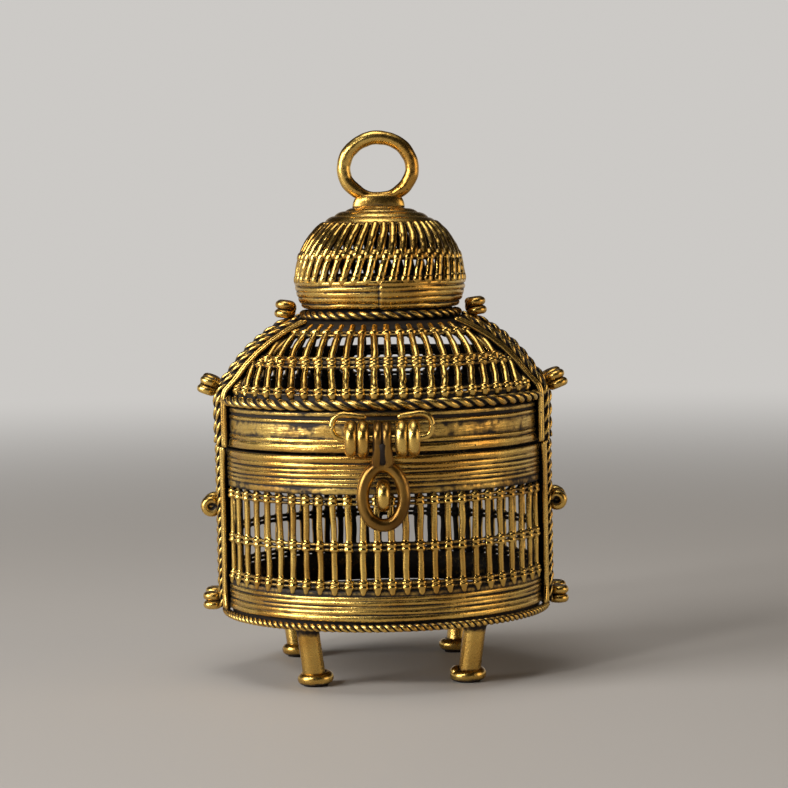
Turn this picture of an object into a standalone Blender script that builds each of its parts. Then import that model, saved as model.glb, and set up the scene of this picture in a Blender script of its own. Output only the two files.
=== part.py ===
"""A round jewelry box of lost-wax cast brass, built in the order of its wax threads.

The box stands on four legs. Its lid turns on a wire hinge at the back, and a
looped hasp hangs from the lid and goes over a staple at the front.
The front is -Y, up is +Z, and the origin lies on the ground below the axis.
"""

import math

import bmesh
import bpy
from mathutils import Matrix, Vector

# Clearance between pieces that touch, and the open seam under the lid.
FIT_GAP = 0.0003
SEAM_GAP = 0.0006
# Points of a turned piece this near the axis become one.
AXIS_MERGE = 0.00001

# Round walls: the plain wall, and the wax threads laid round it.
WALL_RADIUS = 0.0389
WALL_THICKNESS = 0.0017
THREAD_HEIGHT = 0.0005
ROUND_STEPS = 32
DOME_STEPS = 28
TURN = 2 * math.pi

# Legs: a turned tube with a thick ring at the foot and a collar at the top.
LEG_HEIGHT = 0.0145
LEG_RADIUS = 0.0027
LEG_COLLAR_RADIUS = 0.0033
LEG_COLLAR_HEIGHT = 0.0016
FOOT_RADIUS = 0.0043
FOOT_HEIGHT = 0.0032
LEG_LEAN = 0.0028
LEG_STEPS = 12
# Where each foot stands, as shares of the wall's radius: they are set by eye, not in a square.
LEG_PLACE_shares = {
    "leg_back_right": (0.462, 0.630),
    "leg_back_left": (-0.590, 0.565),
    "leg_front_left": (-0.450, -0.591),
    "leg_front_right": (0.509, -0.540),
}

# Floor and the rope round its edge.
BASE_ROPE_WIRE = 0.0011
BASE_ROPE_OVERHANG = 0.0004

# Box wall, from the floor up.
LOWER_BAND_HEIGHT = 0.0072
GRILLE_RING_HEIGHT = 0.0020
LOWER_OPENING_HEIGHT = 0.0070
UPPER_OPENING_HEIGHT = 0.0090
UPPER_BAND_HEIGHT = 0.0091
LOWER_BAND_THREADS = 4
UPPER_BAND_THREADS = 5
GRILLE_THICKNESS = 0.0014
BAR_WIDTH = 0.0013

# Open panels: the bars of the front panel, and those of the back one.
BODY_PANEL_BARS = 26
BODY_PANEL_HALF = math.radians(62.5)
PANEL_SPREAD_share = 0.15
SIDE_STRIP_FACETS = 4

# Lid rim and the rope at the eave.
LID_RIM_HEIGHT = 0.0096
RIM_THREAD_HEIGHT = 0.0013
EAVE_ROPE_WIRE = 0.0013
EAVE_WALL_HEIGHT = 0.0036
EAVE_INSET = 0.0008

# Slope of the lid, a cone that bulges a little.
SLOPE_RISE = 0.0161
SLOPE_BULGE = 0.0019
LID_LOWER_BARS = 24
LID_LOWER_HALF = math.radians(57.5)
LID_UPPER_BARS = 18
LID_UPPER_HALF = math.radians(50.0)
LID_LOWER_shares = (0, 0.06, 0.33, 0.365)
LID_UPPER_shares = (0.38, 0.415, 0.745, 0.84)
SHOULDER_share = 0.855

# Neck and dome: the dome is a full-bodied half ellipse, drawn in below its widest ring.
NECK_RADIUS = 0.0175
NECK_LEDGE = 0.0032
NECK_ROPE_WIRE = 0.00125
DOME_OVERHANG = 0.0032
DOME_HEIGHT = 0.0193
DOME_TUCK = 0.0056
DOME_UNDER_HEIGHT = 0.0115
DOME_FULLNESS = 2.2
DOME_BAND_share = 0.27
DOME_ROW_share = 0.252
DOME_RING_HEIGHT = 0.0009
DOME_THICKNESS = 0.0014
DOME_BARS = 42
DOME_BAR_WIDTH = 0.0014
DOME_TWIST_share = 0.6
CAP_RINGS = 5

# Ring on top of the dome, a little wider than high, with a flattened foot.
FINIAL_HALF_WIDTH = 0.0086
FINIAL_HALF_HEIGHT = 0.0075
FINIAL_WIRE = 0.0017
FINIAL_FOOT_WIRE = 0.0013
FINIAL_STEPS = 20

# Straps down both sides, each of three ropes with smooth ribs between them.
BODY_STRAP_HALF_WIDTH = 0.0105
LID_STRAP_HALF_WIDTH = 0.0134
STRAP_BASE = 0.0004
STRAP_ROPE_HEIGHT = 0.0017
STRAP_RIB_HEIGHT = 0.0007
STRAP_THREAD_HEIGHT = 0.0010
STRAP_ROPE_share = 0.74
STRAP_RIB_share = 0.40
STRAP_THREAD_share = 0.93
LID_STRAP_shares = (0.10, 0.32, 0.55, 0.76, 0.95)

# Small two-turn coils on the straps.
COIL_RADIUS = 0.00135
COIL_WIRE = 0.0008
COIL_PITCH = 0.00215
COIL_STEPS = 10
DOUBLE_RING_OPEN_share = 0.24
DOUBLE_RING_CROSS_share = 0.12
BOTTOM_COIL_RISE = 0.0011
MID_COIL_RISE = 0.0168
EAVE_COIL_RISE = 0.0024
TOP_COIL_share = 0.97
EAVE_COIL_TILT = math.radians(-22)
TOP_COIL_TILT = math.radians(-8)

# Latch: two lugs on the lid rim, their pin, the hasp, and the staple on the box.
LUG_RADIUS = 0.0029
LUG_WIRE = 0.0014
LUG_PITCH = 0.00325
LUG_STEPS = 15
LUG_RISE = 0.0037
LUG_SIDE_GAP = 0.0006
LATCH_PIN_WIRE = 0.00065
LATCH_PIN_REACH = 0.0103
LATCH_HOOK_RISE = 0.0058
LATCH_HOOK_END = 0.0046
HASP_WIRE = 0.0010
HASP_EYE_WIRE = 0.00135
HASP_LOOP_RADIUS = 0.0028
HASP_STRAND_OFFSET = 0.0012
HASP_EYE_HALF_WIDTH = 0.00475
HASP_EYE_HALF_HEIGHT = 0.0063
HASP_EYE_DROP = 0.0133
HASP_EYE_INSET = 0.0008
HASP_TAIL_DROP = 0.0028
HASP_EYE_POINTS = 9
HASP_EYE_STEP = math.radians(19)
LOOP_STEPS = 8
STAPLE_WIRE = 0.0014
STAPLE_HALF_HEIGHT = 0.00235
STAPLE_REACH = 0.0046

# Hinge at the back: coils of the same wire as the lugs, on the seam, with a wire pin.
HINGE_TURN_GAP = 0.0005
HINGE_PIN_WIRE = 0.0007
HINGE_SIDE_GAP = 0.0005
HINGE_TAIL = 0.0042
HINGE_PIN_END = 0.0012
HINGE_TURNS = 2
HINGE_POINTS_PER_TURN = 8

# Colours of the finishes, as red, green and blue.
POLISHED_BRASS = (0.72, 0.50, 0.16)
DARK_BRASS = (0.42, 0.28, 0.09)
BROWN_BRONZE = (0.33, 0.20, 0.08)

# Heights worked out from the sizes above.
FLOOR_BOTTOM = LEG_HEIGHT + FIT_GAP
FLOOR_TOP = FLOOR_BOTTOM + 2 * BASE_ROPE_WIRE
BASE_ROPE_RADIUS = WALL_RADIUS + BASE_ROPE_OVERHANG
LOWER_BAND_BOTTOM = FLOOR_TOP + FIT_GAP
LOWER_BAND_TOP = LOWER_BAND_BOTTOM + LOWER_BAND_HEIGHT
GRILLE_BOTTOM = LOWER_BAND_TOP + FIT_GAP
GRILLE_TOP = GRILLE_BOTTOM + 3 * GRILLE_RING_HEIGHT + LOWER_OPENING_HEIGHT + UPPER_OPENING_HEIGHT
UPPER_BAND_BOTTOM = GRILLE_TOP + FIT_GAP
BOX_TOP = UPPER_BAND_BOTTOM + UPPER_BAND_HEIGHT
RIM_BOTTOM = BOX_TOP + SEAM_GAP
RIM_TOP = RIM_BOTTOM + LID_RIM_HEIGHT
EAVE_ROPE_Z = RIM_TOP + FIT_GAP + EAVE_ROPE_WIRE
THREADED_RADIUS = WALL_RADIUS + THREAD_HEIGHT
STRAP_RADIUS = THREADED_RADIUS + FIT_GAP
EAVE_WALL_RADIUS = WALL_RADIUS - EAVE_INSET
EAVE_ROPE_RADIUS = EAVE_WALL_RADIUS + FIT_GAP + EAVE_ROPE_WIRE
SLOPE_START = Vector((EAVE_WALL_RADIUS, 0, RIM_TOP + FIT_GAP + EAVE_WALL_HEIGHT))
SLOPE_END = Vector((NECK_RADIUS + NECK_LEDGE, 0, SLOPE_START.z + SLOPE_RISE))
SLOPE_OUT = Vector((SLOPE_RISE, 0, SLOPE_START.x - SLOPE_END.x)).normalized()
NECK_ROPE_Z = SLOPE_END.z + FIT_GAP + NECK_ROPE_WIRE
NECK_TOP = NECK_ROPE_Z + NECK_ROPE_WIRE
DOME_RADIUS = NECK_RADIUS + DOME_OVERHANG
DOME_BOTTOM = NECK_TOP + FIT_GAP
DOME_EQUATOR = DOME_BOTTOM + DOME_TUCK
DOME_TOP = DOME_EQUATOR + DOME_HEIGHT
COIL_OUTER = COIL_RADIUS + COIL_WIRE
COIL_STANDOFF = STRAP_RIB_HEIGHT + FIT_GAP + COIL_OUTER
LUG_X = LUG_PITCH / 2 + LUG_WIRE + LUG_SIDE_GAP + HASP_STRAND_OFFSET + HASP_WIRE
LUG_SEAT = math.sqrt(THREADED_RADIUS**2 - LUG_X**2)
LATCH_Y = -(LUG_SEAT + FIT_GAP + LUG_RADIUS + LUG_WIRE)
LATCH_Z = RIM_BOTTOM + LUG_RISE
HINGE_Y = THREADED_RADIUS + FIT_GAP + LUG_RADIUS + LUG_WIRE
HINGE_PITCH = 2 * LUG_WIRE + HINGE_TURN_GAP
HINGE_Z = BOX_TOP + SEAM_GAP / 2

FRONT = -math.pi / 2
BACK = math.pi / 2


def clear_scene():
    for obj in list(bpy.data.objects):
        bpy.data.objects.remove(obj, do_unlink=True)


clear_scene()
BOX_PARTS = bpy.data.collections.new("jewelry_box")
bpy.context.scene.collection.children.link(BOX_PARTS)


def finish_material(name, colour, roughness):
    """A metal finish: cast brass differs here only in its colour and polish."""
    material = bpy.data.materials.new(name)
    material.use_nodes = True
    shader = material.node_tree.nodes["Principled BSDF"]
    shader.inputs["Base Color"].default_value = (*colour, 1)
    shader.inputs["Metallic"].default_value = 1.0
    shader.inputs["Roughness"].default_value = roughness
    material.diffuse_color = (*colour, 1)
    return material


def add_piece(name, data, colour=POLISHED_BRASS, roughness=0.35):
    piece = bpy.data.objects.new(name, data)
    piece.data.materials.clear()
    piece.data.materials.append(finish_material(name + "_finish", colour, roughness))
    BOX_PARTS.objects.link(piece)
    return piece


def add_pivot(name, location):
    """An empty on a joint's axis, which carries the pieces that turn there."""
    pivot = bpy.data.objects.new(name, None)
    pivot.location = location
    BOX_PARTS.objects.link(pivot)
    return pivot


def carry(pivot, *pieces):
    """Parents the pieces to the pivot and leaves them where they lie."""
    for piece in pieces:
        piece.parent = pivot
        piece.matrix_parent_inverse = Matrix.Translation(-pivot.location)


def turned(name, profile, steps, on_axis=False):
    """Turns a closed profile of (radius, height) points round the box's axis."""
    mesh = bpy.data.meshes.new(name)
    count = len(profile)
    edges = [(index, index + 1) for index in range(count - 1)]
    if not on_axis:
        edges.append((count - 1, 0))
    mesh.from_pydata([(radius, 0, height) for radius, height in profile], edges, [])
    piece = add_piece(name, mesh)
    screw = piece.modifiers.new("turn", "SCREW")
    screw.steps = steps
    screw.render_steps = steps
    screw.use_merge_vertices = on_axis
    screw.merge_threshold = AXIS_MERGE
    screw.use_smooth_shade = True
    return piece


def tube(name, points, wire, closed=False, swell=None, colour=POLISHED_BRASS):
    """A round wire through the points, with flat ends unless it closes on itself."""
    curve = bpy.data.curves.new(name, "CURVE")
    curve.dimensions = "3D"
    curve.bevel_depth = wire
    curve.bevel_resolution = 1
    curve.use_fill_caps = True
    spline = curve.splines.new("POLY")
    spline.points.add(len(points) - 1)
    for index, point in enumerate(points):
        spline.points[index].co = (*point, 1)
        spline.points[index].radius = swell[index] if swell else 1
    spline.use_cyclic_u = closed
    return add_piece(name, curve, colour)


def around(radius, angle, height):
    return Vector((radius * math.cos(angle), radius * math.sin(angle), height))


def ring_points(radius, height, first, last, steps):
    return [
        around(radius, first + (last - first) * index / steps, height)
        for index in range(steps + 1)
    ]


def threaded_outline(radius, bottom, top, threads):
    """The outer side of a band from top to bottom, scalloped by the threads laid on it."""
    pitch = (top - bottom) / threads
    outline = []
    for index in range(threads):
        upper = top - index * pitch
        outline.append((radius, upper))
        outline.append((radius + THREAD_HEIGHT, upper - pitch / 2))
    outline.append((radius, bottom))
    return outline


def threaded_band(name, bottom, top, threads):
    inner = WALL_RADIUS - WALL_THICKNESS
    outline = threaded_outline(WALL_RADIUS, bottom, top, threads)
    return turned(name, outline + [(inner, bottom), (inner, top)], ROUND_STEPS)


# Openwork panels.


def spread_angle(place, half):
    """Angle of a bar whose place runs from -1 to 1: the spacing opens out toward the sides."""
    return half * (place + PANEL_SPREAD_share * place**3)


def panel_columns(bars, half, bar_angle):
    """(angle, open after it) round the whole ring: a front and a back panel between solid strips."""
    columns = []
    for middle in (FRONT, BACK):
        for index in range(bars):
            centre = middle + spread_angle(2 * index / (bars - 1) - 1, half)
            columns.append((centre - bar_angle / 2, False))
            if index < bars - 1:
                columns.append((centre + bar_angle / 2, True))
        start = centre + bar_angle / 2
        end = middle + math.pi - spread_angle(1, half) - bar_angle / 2
        for index in range(SIDE_STRIP_FACETS):
            columns.append((start + (end - start) * index / SIDE_STRIP_FACETS, False))
    return columns


def even_columns(bars, bar_angle):
    columns = []
    for index in range(bars):
        centre = FRONT + TURN * index / bars
        columns.append((centre - bar_angle / 2, False))
        columns.append((centre + bar_angle / 2, True))
    return columns


def openwork(name, rings, open_rows, columns, thickness, twists=None):
    """A ring wall cut into bars. Its rings are (radius, height) from the bottom up."""
    mesh = bmesh.new()
    grid = []
    for row, (radius, height) in enumerate(rings):
        twist = twists[row] if twists else 0
        grid.append([mesh.verts.new(around(radius, angle + twist, height)) for angle, _ in columns])
    for row in range(len(rings) - 1):
        for index, (_, is_open) in enumerate(columns):
            after = (index + 1) % len(columns)
            if not (is_open and row in open_rows):
                corners = (grid[row][index], grid[row][after], grid[row + 1][after], grid[row + 1][index])
                mesh.faces.new(corners)
    data = bpy.data.meshes.new(name)
    mesh.to_mesh(data)
    mesh.free()
    piece = add_piece(name, data, DARK_BRASS)
    wall = piece.modifiers.new("wall", "SOLIDIFY")
    wall.thickness = thickness
    wall.offset = -1
    wall.use_even_offset = True
    return piece


# Legs, floor and the rope round it.


def leg_outline():
    waist = LEG_HEIGHT - LEG_COLLAR_HEIGHT
    foot_bevel = FOOT_HEIGHT / 3
    return [
        (0, LEG_HEIGHT),
        (LEG_COLLAR_RADIUS, LEG_HEIGHT),
        (LEG_COLLAR_RADIUS, waist),
        (LEG_RADIUS, waist - LEG_COLLAR_HEIGHT / 2),
        (LEG_RADIUS, FOOT_HEIGHT),
        (FOOT_RADIUS - foot_bevel / 2, FOOT_HEIGHT - foot_bevel / 2),
        (FOOT_RADIUS, FOOT_HEIGHT / 2),
        (FOOT_RADIUS - foot_bevel, 0),
        (0, 0),
    ]


def build_leg(name, foot):
    """A leg under the floor that leans out from its foot to its top, with the foot kept level."""
    leg = turned(name, leg_outline(), LEG_STEPS, on_axis=True)
    graph = bpy.context.evaluated_depsgraph_get()
    mesh = bpy.data.meshes.new_from_object(leg.evaluated_get(graph))
    lean = foot.normalized() * LEG_LEAN
    for vertex in mesh.vertices:
        vertex.co += lean * (vertex.co.z / LEG_HEIGHT)
    leg.modifiers.clear()
    leg.data = mesh
    leg.location = foot
    return leg


def build_legs():
    for name, (x_share, y_share) in LEG_PLACE_shares.items():
        build_leg(name, Vector((x_share, y_share, 0)) * WALL_RADIUS)


def build_base():
    edge = BASE_ROPE_RADIUS - BASE_ROPE_WIRE - FIT_GAP
    plate = [(0, FLOOR_TOP), (edge, FLOOR_TOP), (edge, FLOOR_BOTTOM), (0, FLOOR_BOTTOM)]
    turned("floor_plate", plate, ROUND_STEPS, on_axis=True)
    rope = ring_points(BASE_ROPE_RADIUS, FLOOR_BOTTOM + BASE_ROPE_WIRE, 0, TURN, ROUND_STEPS)
    tube("base_rope", rope[:-1], BASE_ROPE_WIRE, closed=True)


# Box wall.


def build_box_wall():
    threaded_band("lower_band", LOWER_BAND_BOTTOM, LOWER_BAND_TOP, LOWER_BAND_THREADS)
    heights = [GRILLE_BOTTOM, GRILLE_BOTTOM + GRILLE_RING_HEIGHT]
    for opening in (LOWER_OPENING_HEIGHT, UPPER_OPENING_HEIGHT):
        heights.append(heights[-1] + opening)
        heights.append(heights[-1] + GRILLE_RING_HEIGHT)
    rings = [(WALL_RADIUS, height) for height in heights]
    columns = panel_columns(BODY_PANEL_BARS, BODY_PANEL_HALF, BAR_WIDTH / WALL_RADIUS)
    openwork("body_grille", rings, (1, 3), columns, GRILLE_THICKNESS)
    threaded_band("upper_band", UPPER_BAND_BOTTOM, BOX_TOP, UPPER_BAND_THREADS)


# Lid: rim, eave rope, slope, shoulder and neck.


def slope_point(share):
    """A point of the slope's outer side, from 0 at the eave to 1 at the shoulder."""
    straight = SLOPE_START.lerp(SLOPE_END, share)
    return straight + SLOPE_OUT * (SLOPE_BULGE * 4 * share * (1 - share))


def slope_ring(share):
    point = slope_point(share)
    return (point.x, point.z)


def build_lid_rim():
    inner = WALL_RADIUS - WALL_THICKNESS
    thread = RIM_THREAD_HEIGHT / 2
    outline = [
        (WALL_RADIUS, RIM_TOP),
        (THREADED_RADIUS, RIM_TOP - thread),
        (WALL_RADIUS, RIM_TOP - 2 * thread),
        (THREADED_RADIUS, RIM_TOP - 3 * thread),
        (WALL_RADIUS, RIM_TOP - 4 * thread),
        (WALL_RADIUS, RIM_BOTTOM + 2 * thread),
        (THREADED_RADIUS, RIM_BOTTOM + thread),
        (WALL_RADIUS, RIM_BOTTOM),
        (inner, RIM_BOTTOM),
        (inner, RIM_TOP),
    ]
    return turned("lid_rim", outline, ROUND_STEPS)


def build_eave_ropes():
    strap_angle = (LID_STRAP_HALF_WIDTH + 2 * FIT_GAP) / STRAP_RADIUS
    ropes = []
    for name, middle in (("eave_rope_front", FRONT), ("eave_rope_back", BACK)):
        half = math.pi / 2 - strap_angle
        points = ring_points(EAVE_ROPE_RADIUS, EAVE_ROPE_Z, middle - half, middle + half, ROUND_STEPS // 2)
        ropes.append(tube(name, points, EAVE_ROPE_WIRE))
    return ropes


def build_slope():
    """The lower grille stands on the rim with a short upright wall, behind the eave rope."""
    eave_wall = [(EAVE_WALL_RADIUS, RIM_TOP + FIT_GAP)]
    lower = eave_wall + [slope_ring(share) for share in LID_LOWER_shares]
    upper = [slope_ring(share) for share in LID_UPPER_shares]
    lower_columns = panel_columns(LID_LOWER_BARS, LID_LOWER_HALF, BAR_WIDTH / lower[2][0])
    upper_columns = panel_columns(LID_UPPER_BARS, LID_UPPER_HALF, BAR_WIDTH / upper[1][0])
    return [
        openwork("lid_lower_grille", lower, (2,), lower_columns, GRILLE_THICKNESS),
        openwork("lid_upper_grille", upper, (1,), upper_columns, GRILLE_THICKNESS),
    ]


def build_shoulder():
    lower = slope_point(SHOULDER_share)
    inside = lower - SLOPE_OUT * GRILLE_THICKNESS
    inner = NECK_RADIUS - WALL_THICKNESS
    under = SLOPE_END.z - GRILLE_THICKNESS
    outline = [
        (NECK_RADIUS, NECK_TOP),
        (NECK_RADIUS, SLOPE_END.z),
        (SLOPE_END.x, SLOPE_END.z),
        (lower.x, lower.z),
        (inside.x, inside.z),
        (inner, under),
        (inner, NECK_TOP),
    ]
    ring = turned("lid_shoulder", outline, DOME_STEPS)
    rope_radius = NECK_RADIUS + FIT_GAP + NECK_ROPE_WIRE
    points = ring_points(rope_radius, NECK_ROPE_Z, 0, TURN, DOME_STEPS)
    return [ring, tube("neck_rope", points[:-1], NECK_ROPE_WIRE, closed=True)]


# Dome.


def dome_reach(height):
    """The dome's extent above or below its widest ring, on the side where the height lies."""
    return DOME_HEIGHT if height > DOME_EQUATOR else -DOME_UNDER_HEIGHT


def dome_radius(height):
    rise = (height - DOME_EQUATOR) / dome_reach(height)
    return DOME_RADIUS * max(0, 1 - rise**DOME_FULLNESS) ** (1 / DOME_FULLNESS)


def dome_inside(height):
    """The same height on the dome's inner side, drawn in square to the outer one."""
    radius = dome_radius(height)
    reach = dome_reach(height)
    across = (radius / DOME_RADIUS) ** (DOME_FULLNESS - 1) / DOME_RADIUS
    upward = ((height - DOME_EQUATOR) / reach) ** (DOME_FULLNESS - 1) / reach
    out = Vector((across, 0, upward)).normalized()
    return (radius - DOME_THICKNESS * out.x, height - DOME_THICKNESS * out.z)


def build_dome():
    tall = DOME_TOP - DOME_BOTTOM
    band_top = DOME_BOTTOM + DOME_BAND_share * tall
    middle = (DOME_BOTTOM + band_top) / 2
    outline = [(dome_radius(height), height) for height in (band_top, middle, DOME_BOTTOM)]
    outline += [dome_inside(height) for height in (DOME_BOTTOM, middle, band_top)]
    pieces = [turned("dome_band", outline, DOME_STEPS)]

    bottom = band_top + FIT_GAP
    twist = DOME_TWIST_share * TURN / DOME_BARS
    for name in ("dome_lower_grille", "dome_upper_grille"):
        top = bottom + DOME_ROW_share * tall
        heights = (bottom, bottom + DOME_RING_HEIGHT, top - DOME_RING_HEIGHT, top)
        rings = [(dome_radius(height), height) for height in heights]
        columns = even_columns(DOME_BARS, DOME_BAR_WIDTH / rings[2][0])
        twists = (0, 0, twist, twist)
        pieces.append(openwork(name, rings, (1,), columns, DOME_THICKNESS, twists))
        bottom = top + FIT_GAP

    pieces.append(build_cap(bottom))
    return pieces


def build_cap(bottom):
    """The closed top of the dome, with its wax thread wound round it in rings."""
    start = math.asin((bottom - DOME_EQUATOR) / DOME_HEIGHT)
    step = (math.pi / 2 - start) / CAP_RINGS
    outer = []
    inner = []
    for index in range(CAP_RINGS + 1):
        lift = math.pi / 2 - index * step
        height = DOME_EQUATOR + DOME_HEIGHT * math.sin(lift)
        radius = dome_radius(height) if index else 0
        outer.append((radius, height))
        inner.append(dome_inside(height) if index else (0, height - DOME_THICKNESS))
    return turned("dome_cap", outer + inner[::-1], DOME_STEPS, on_axis=True)


def build_finial():
    """The lifting ring, which stands upright across the front on its flattened foot."""
    centre = DOME_TOP + FIT_GAP + FINIAL_FOOT_WIRE + FINIAL_HALF_HEIGHT
    points = []
    swell = []
    for index in range(FINIAL_STEPS):
        turn = TURN * index / FINIAL_STEPS
        points.append(Vector((FINIAL_HALF_WIDTH * math.sin(turn), 0, centre - FINIAL_HALF_HEIGHT * math.cos(turn))))
        at_foot = index in (0, 1, FINIAL_STEPS - 1)
        swell.append(FINIAL_FOOT_WIRE / FINIAL_WIRE if at_foot else 1)
    return tube("finial_ring", points, FINIAL_WIRE, closed=True, swell=swell)


# Straps down the sides.


def strap_section():
    """(share of the half width, height) over the strap: threads, ropes and ribs side by side."""
    crests = (
        (STRAP_THREAD_share, STRAP_THREAD_HEIGHT),
        (STRAP_ROPE_share, STRAP_ROPE_HEIGHT),
        (STRAP_RIB_share, STRAP_RIB_HEIGHT),
        (0, STRAP_ROPE_HEIGHT),
    )
    half = [(1, STRAP_BASE)]
    for index, (share, height) in enumerate(crests):
        half.append((share, height))
        if index < len(crests) - 1:
            half.append(((share + crests[index + 1][0]) / 2, STRAP_BASE))
    mirrored = [(-share, height) for share, height in half[-2::-1]]
    return half + mirrored


def build_strap(name, side, path, half_width):
    """A strap lofted along a path of (radius, height, outward direction), inner side smooth."""
    outer = strap_section()
    inner_points = len(outer) // 2 + 1
    mesh = bmesh.new()
    loops = []
    for radius, height, out in path:
        loop = []
        for share, lift in outer:
            angle = side + share * half_width / radius
            loop.append(mesh.verts.new(around(radius + lift * out.x, angle, height + lift * out.z)))
        for index in range(inner_points):
            share = -1 + 2 * index / (inner_points - 1)
            angle = side + share * half_width / radius
            loop.append(mesh.verts.new(around(radius, angle, height)))
        loops.append(loop)
    count = len(loops[0])
    for below, above in zip(loops, loops[1:]):
        for index in range(count):
            after = (index + 1) % count
            mesh.faces.new((below[index], above[index], above[after], below[after]))
    mesh.faces.new(loops[0])
    mesh.faces.new(loops[-1][::-1])
    bmesh.ops.recalc_face_normals(mesh, faces=mesh.faces)
    data = bpy.data.meshes.new(name)
    mesh.to_mesh(data)
    mesh.free()
    return add_piece(name, data)


def body_strap_path():
    out = Vector((1, 0, 0))
    bottom = LOWER_BAND_BOTTOM + FIT_GAP
    top = BOX_TOP
    return [(STRAP_RADIUS, bottom + (top - bottom) * index / 3, out) for index in range(4)]


def lid_strap_path():
    out = Vector((1, 0, 0))
    corner = (out + SLOPE_OUT).normalized()
    path = [(STRAP_RADIUS, RIM_BOTTOM, out), (STRAP_RADIUS, RIM_TOP, out)]
    path.append((STRAP_RADIUS, SLOPE_START.z - EAVE_INSET, corner))
    for share in LID_STRAP_shares:
        point = slope_point(share) + SLOPE_OUT * FIT_GAP
        path.append((point.x, point.z, SLOPE_OUT))
    return path


# Coils on the straps.


def double_ring(radius, pitch, steps):
    """Two flat turns round Z that cross over at -X, centred on the origin. Both ends stop short of there."""
    first = DOUBLE_RING_OPEN_share
    points = []
    for index in range(steps + 1):
        turns = first + 2 * (1 - first) * index / steps
        lift = max(-1, min(1, (turns - 1) / DOUBLE_RING_CROSS_share))
        points.append(around(radius, math.pi + TURN * turns, lift * pitch / 2))
    return points


def self_gap(points, wire):
    """The least gap between a coil's two turns, measured between points most of a turn apart."""
    turn = len(points) // 2
    least = math.inf
    for index, point in enumerate(points):
        for other in points[index + turn - 1:]:
            least = min(least, (point - other).length - 2 * wire)
    return least


def build_coil(name, side, offset, radius, height, tilt):
    """A strap coil at its arc offset from the side. Without a tilt its axis runs along the wall."""
    angle = side + offset / radius
    points = double_ring(COIL_RADIUS, COIL_PITCH, COIL_STEPS)
    if tilt is None:
        lean = Matrix.Rotation(math.pi / 2, 4, "X")
    else:
        lean = Matrix.Rotation(tilt, 4, "Y")
    place = Matrix.Translation(around(radius, angle, height)) @ Matrix.Rotation(angle, 4, "Z") @ lean
    return tube(name, [place @ point for point in points], COIL_WIRE)


def build_coils():
    """Coils at four levels, one on each rib. The upper two levels belong to the lid."""
    top = slope_point(TOP_COIL_share) + SLOPE_OUT * (FIT_GAP + COIL_STANDOFF)
    radius = STRAP_RADIUS + COIL_STANDOFF
    levels = (
        ("bottom", radius, LOWER_BAND_BOTTOM + BOTTOM_COIL_RISE, 0, BODY_STRAP_HALF_WIDTH),
        ("mid", radius, GRILLE_BOTTOM + MID_COIL_RISE, None, BODY_STRAP_HALF_WIDTH),
        ("eave", radius, EAVE_ROPE_Z + EAVE_COIL_RISE, EAVE_COIL_TILT, LID_STRAP_HALF_WIDTH),
        ("top", top.x, top.z, TOP_COIL_TILT, LID_STRAP_HALF_WIDTH),
    )
    lid_coils = []
    for side_name, side, toward_front in (("left", math.pi, 1), ("right", 0, -1)):
        for level, distance, height, tilt, half_width in levels:
            for place, sign in (("near", toward_front), ("far", -toward_front)):
                name = f"{level}_coil_{side_name}_{place}"
                offset = sign * STRAP_RIB_share * half_width * distance / STRAP_RADIUS
                coil = build_coil(name, side, offset, distance, height, tilt)
                if level in ("eave", "top"):
                    lid_coils.append(coil)
    gap = self_gap(double_ring(COIL_RADIUS, COIL_PITCH, COIL_STEPS), COIL_WIRE)
    print(f"least gap inside a strap coil: {gap * 1000:.2f} mm")
    return lid_coils


# Latch at the front.


def build_lugs():
    """Two double rings on the lid rim, one on each side of the hasp."""
    lugs = []
    for name, x in (("latch_lug_left", -LUG_X), ("latch_lug_right", LUG_X)):
        ring = double_ring(LUG_RADIUS, LUG_PITCH, LUG_STEPS)
        points = [Vector((x + point.z, LATCH_Y - point.x, LATCH_Z + point.y)) for point in ring]
        lugs.append(tube(name, points, LUG_WIRE))
    gap = self_gap(double_ring(LUG_RADIUS, LUG_PITCH, LUG_STEPS), LUG_WIRE)
    print(f"least gap inside a latch lug: {gap * 1000:.2f} mm")
    return lugs


def build_latch_pin():
    """A wire through the lugs, bent up and back over them at both ends."""
    bend = 2 * LATCH_PIN_WIRE
    reach = LATCH_PIN_REACH + LUG_WIRE
    top = LATCH_Z + LATCH_HOOK_RISE
    half = [
        (LATCH_HOOK_END, top),
        (reach - bend, top),
        (reach, top - bend),
        (reach, LATCH_Z + bend),
        (reach - bend, LATCH_Z),
    ]
    points = [Vector((-x, LATCH_Y, z)) for x, z in half]
    points += [Vector((x, LATCH_Y, z)) for x, z in half[::-1]]
    return tube("latch_pin", points, LATCH_PIN_WIRE)


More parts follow.
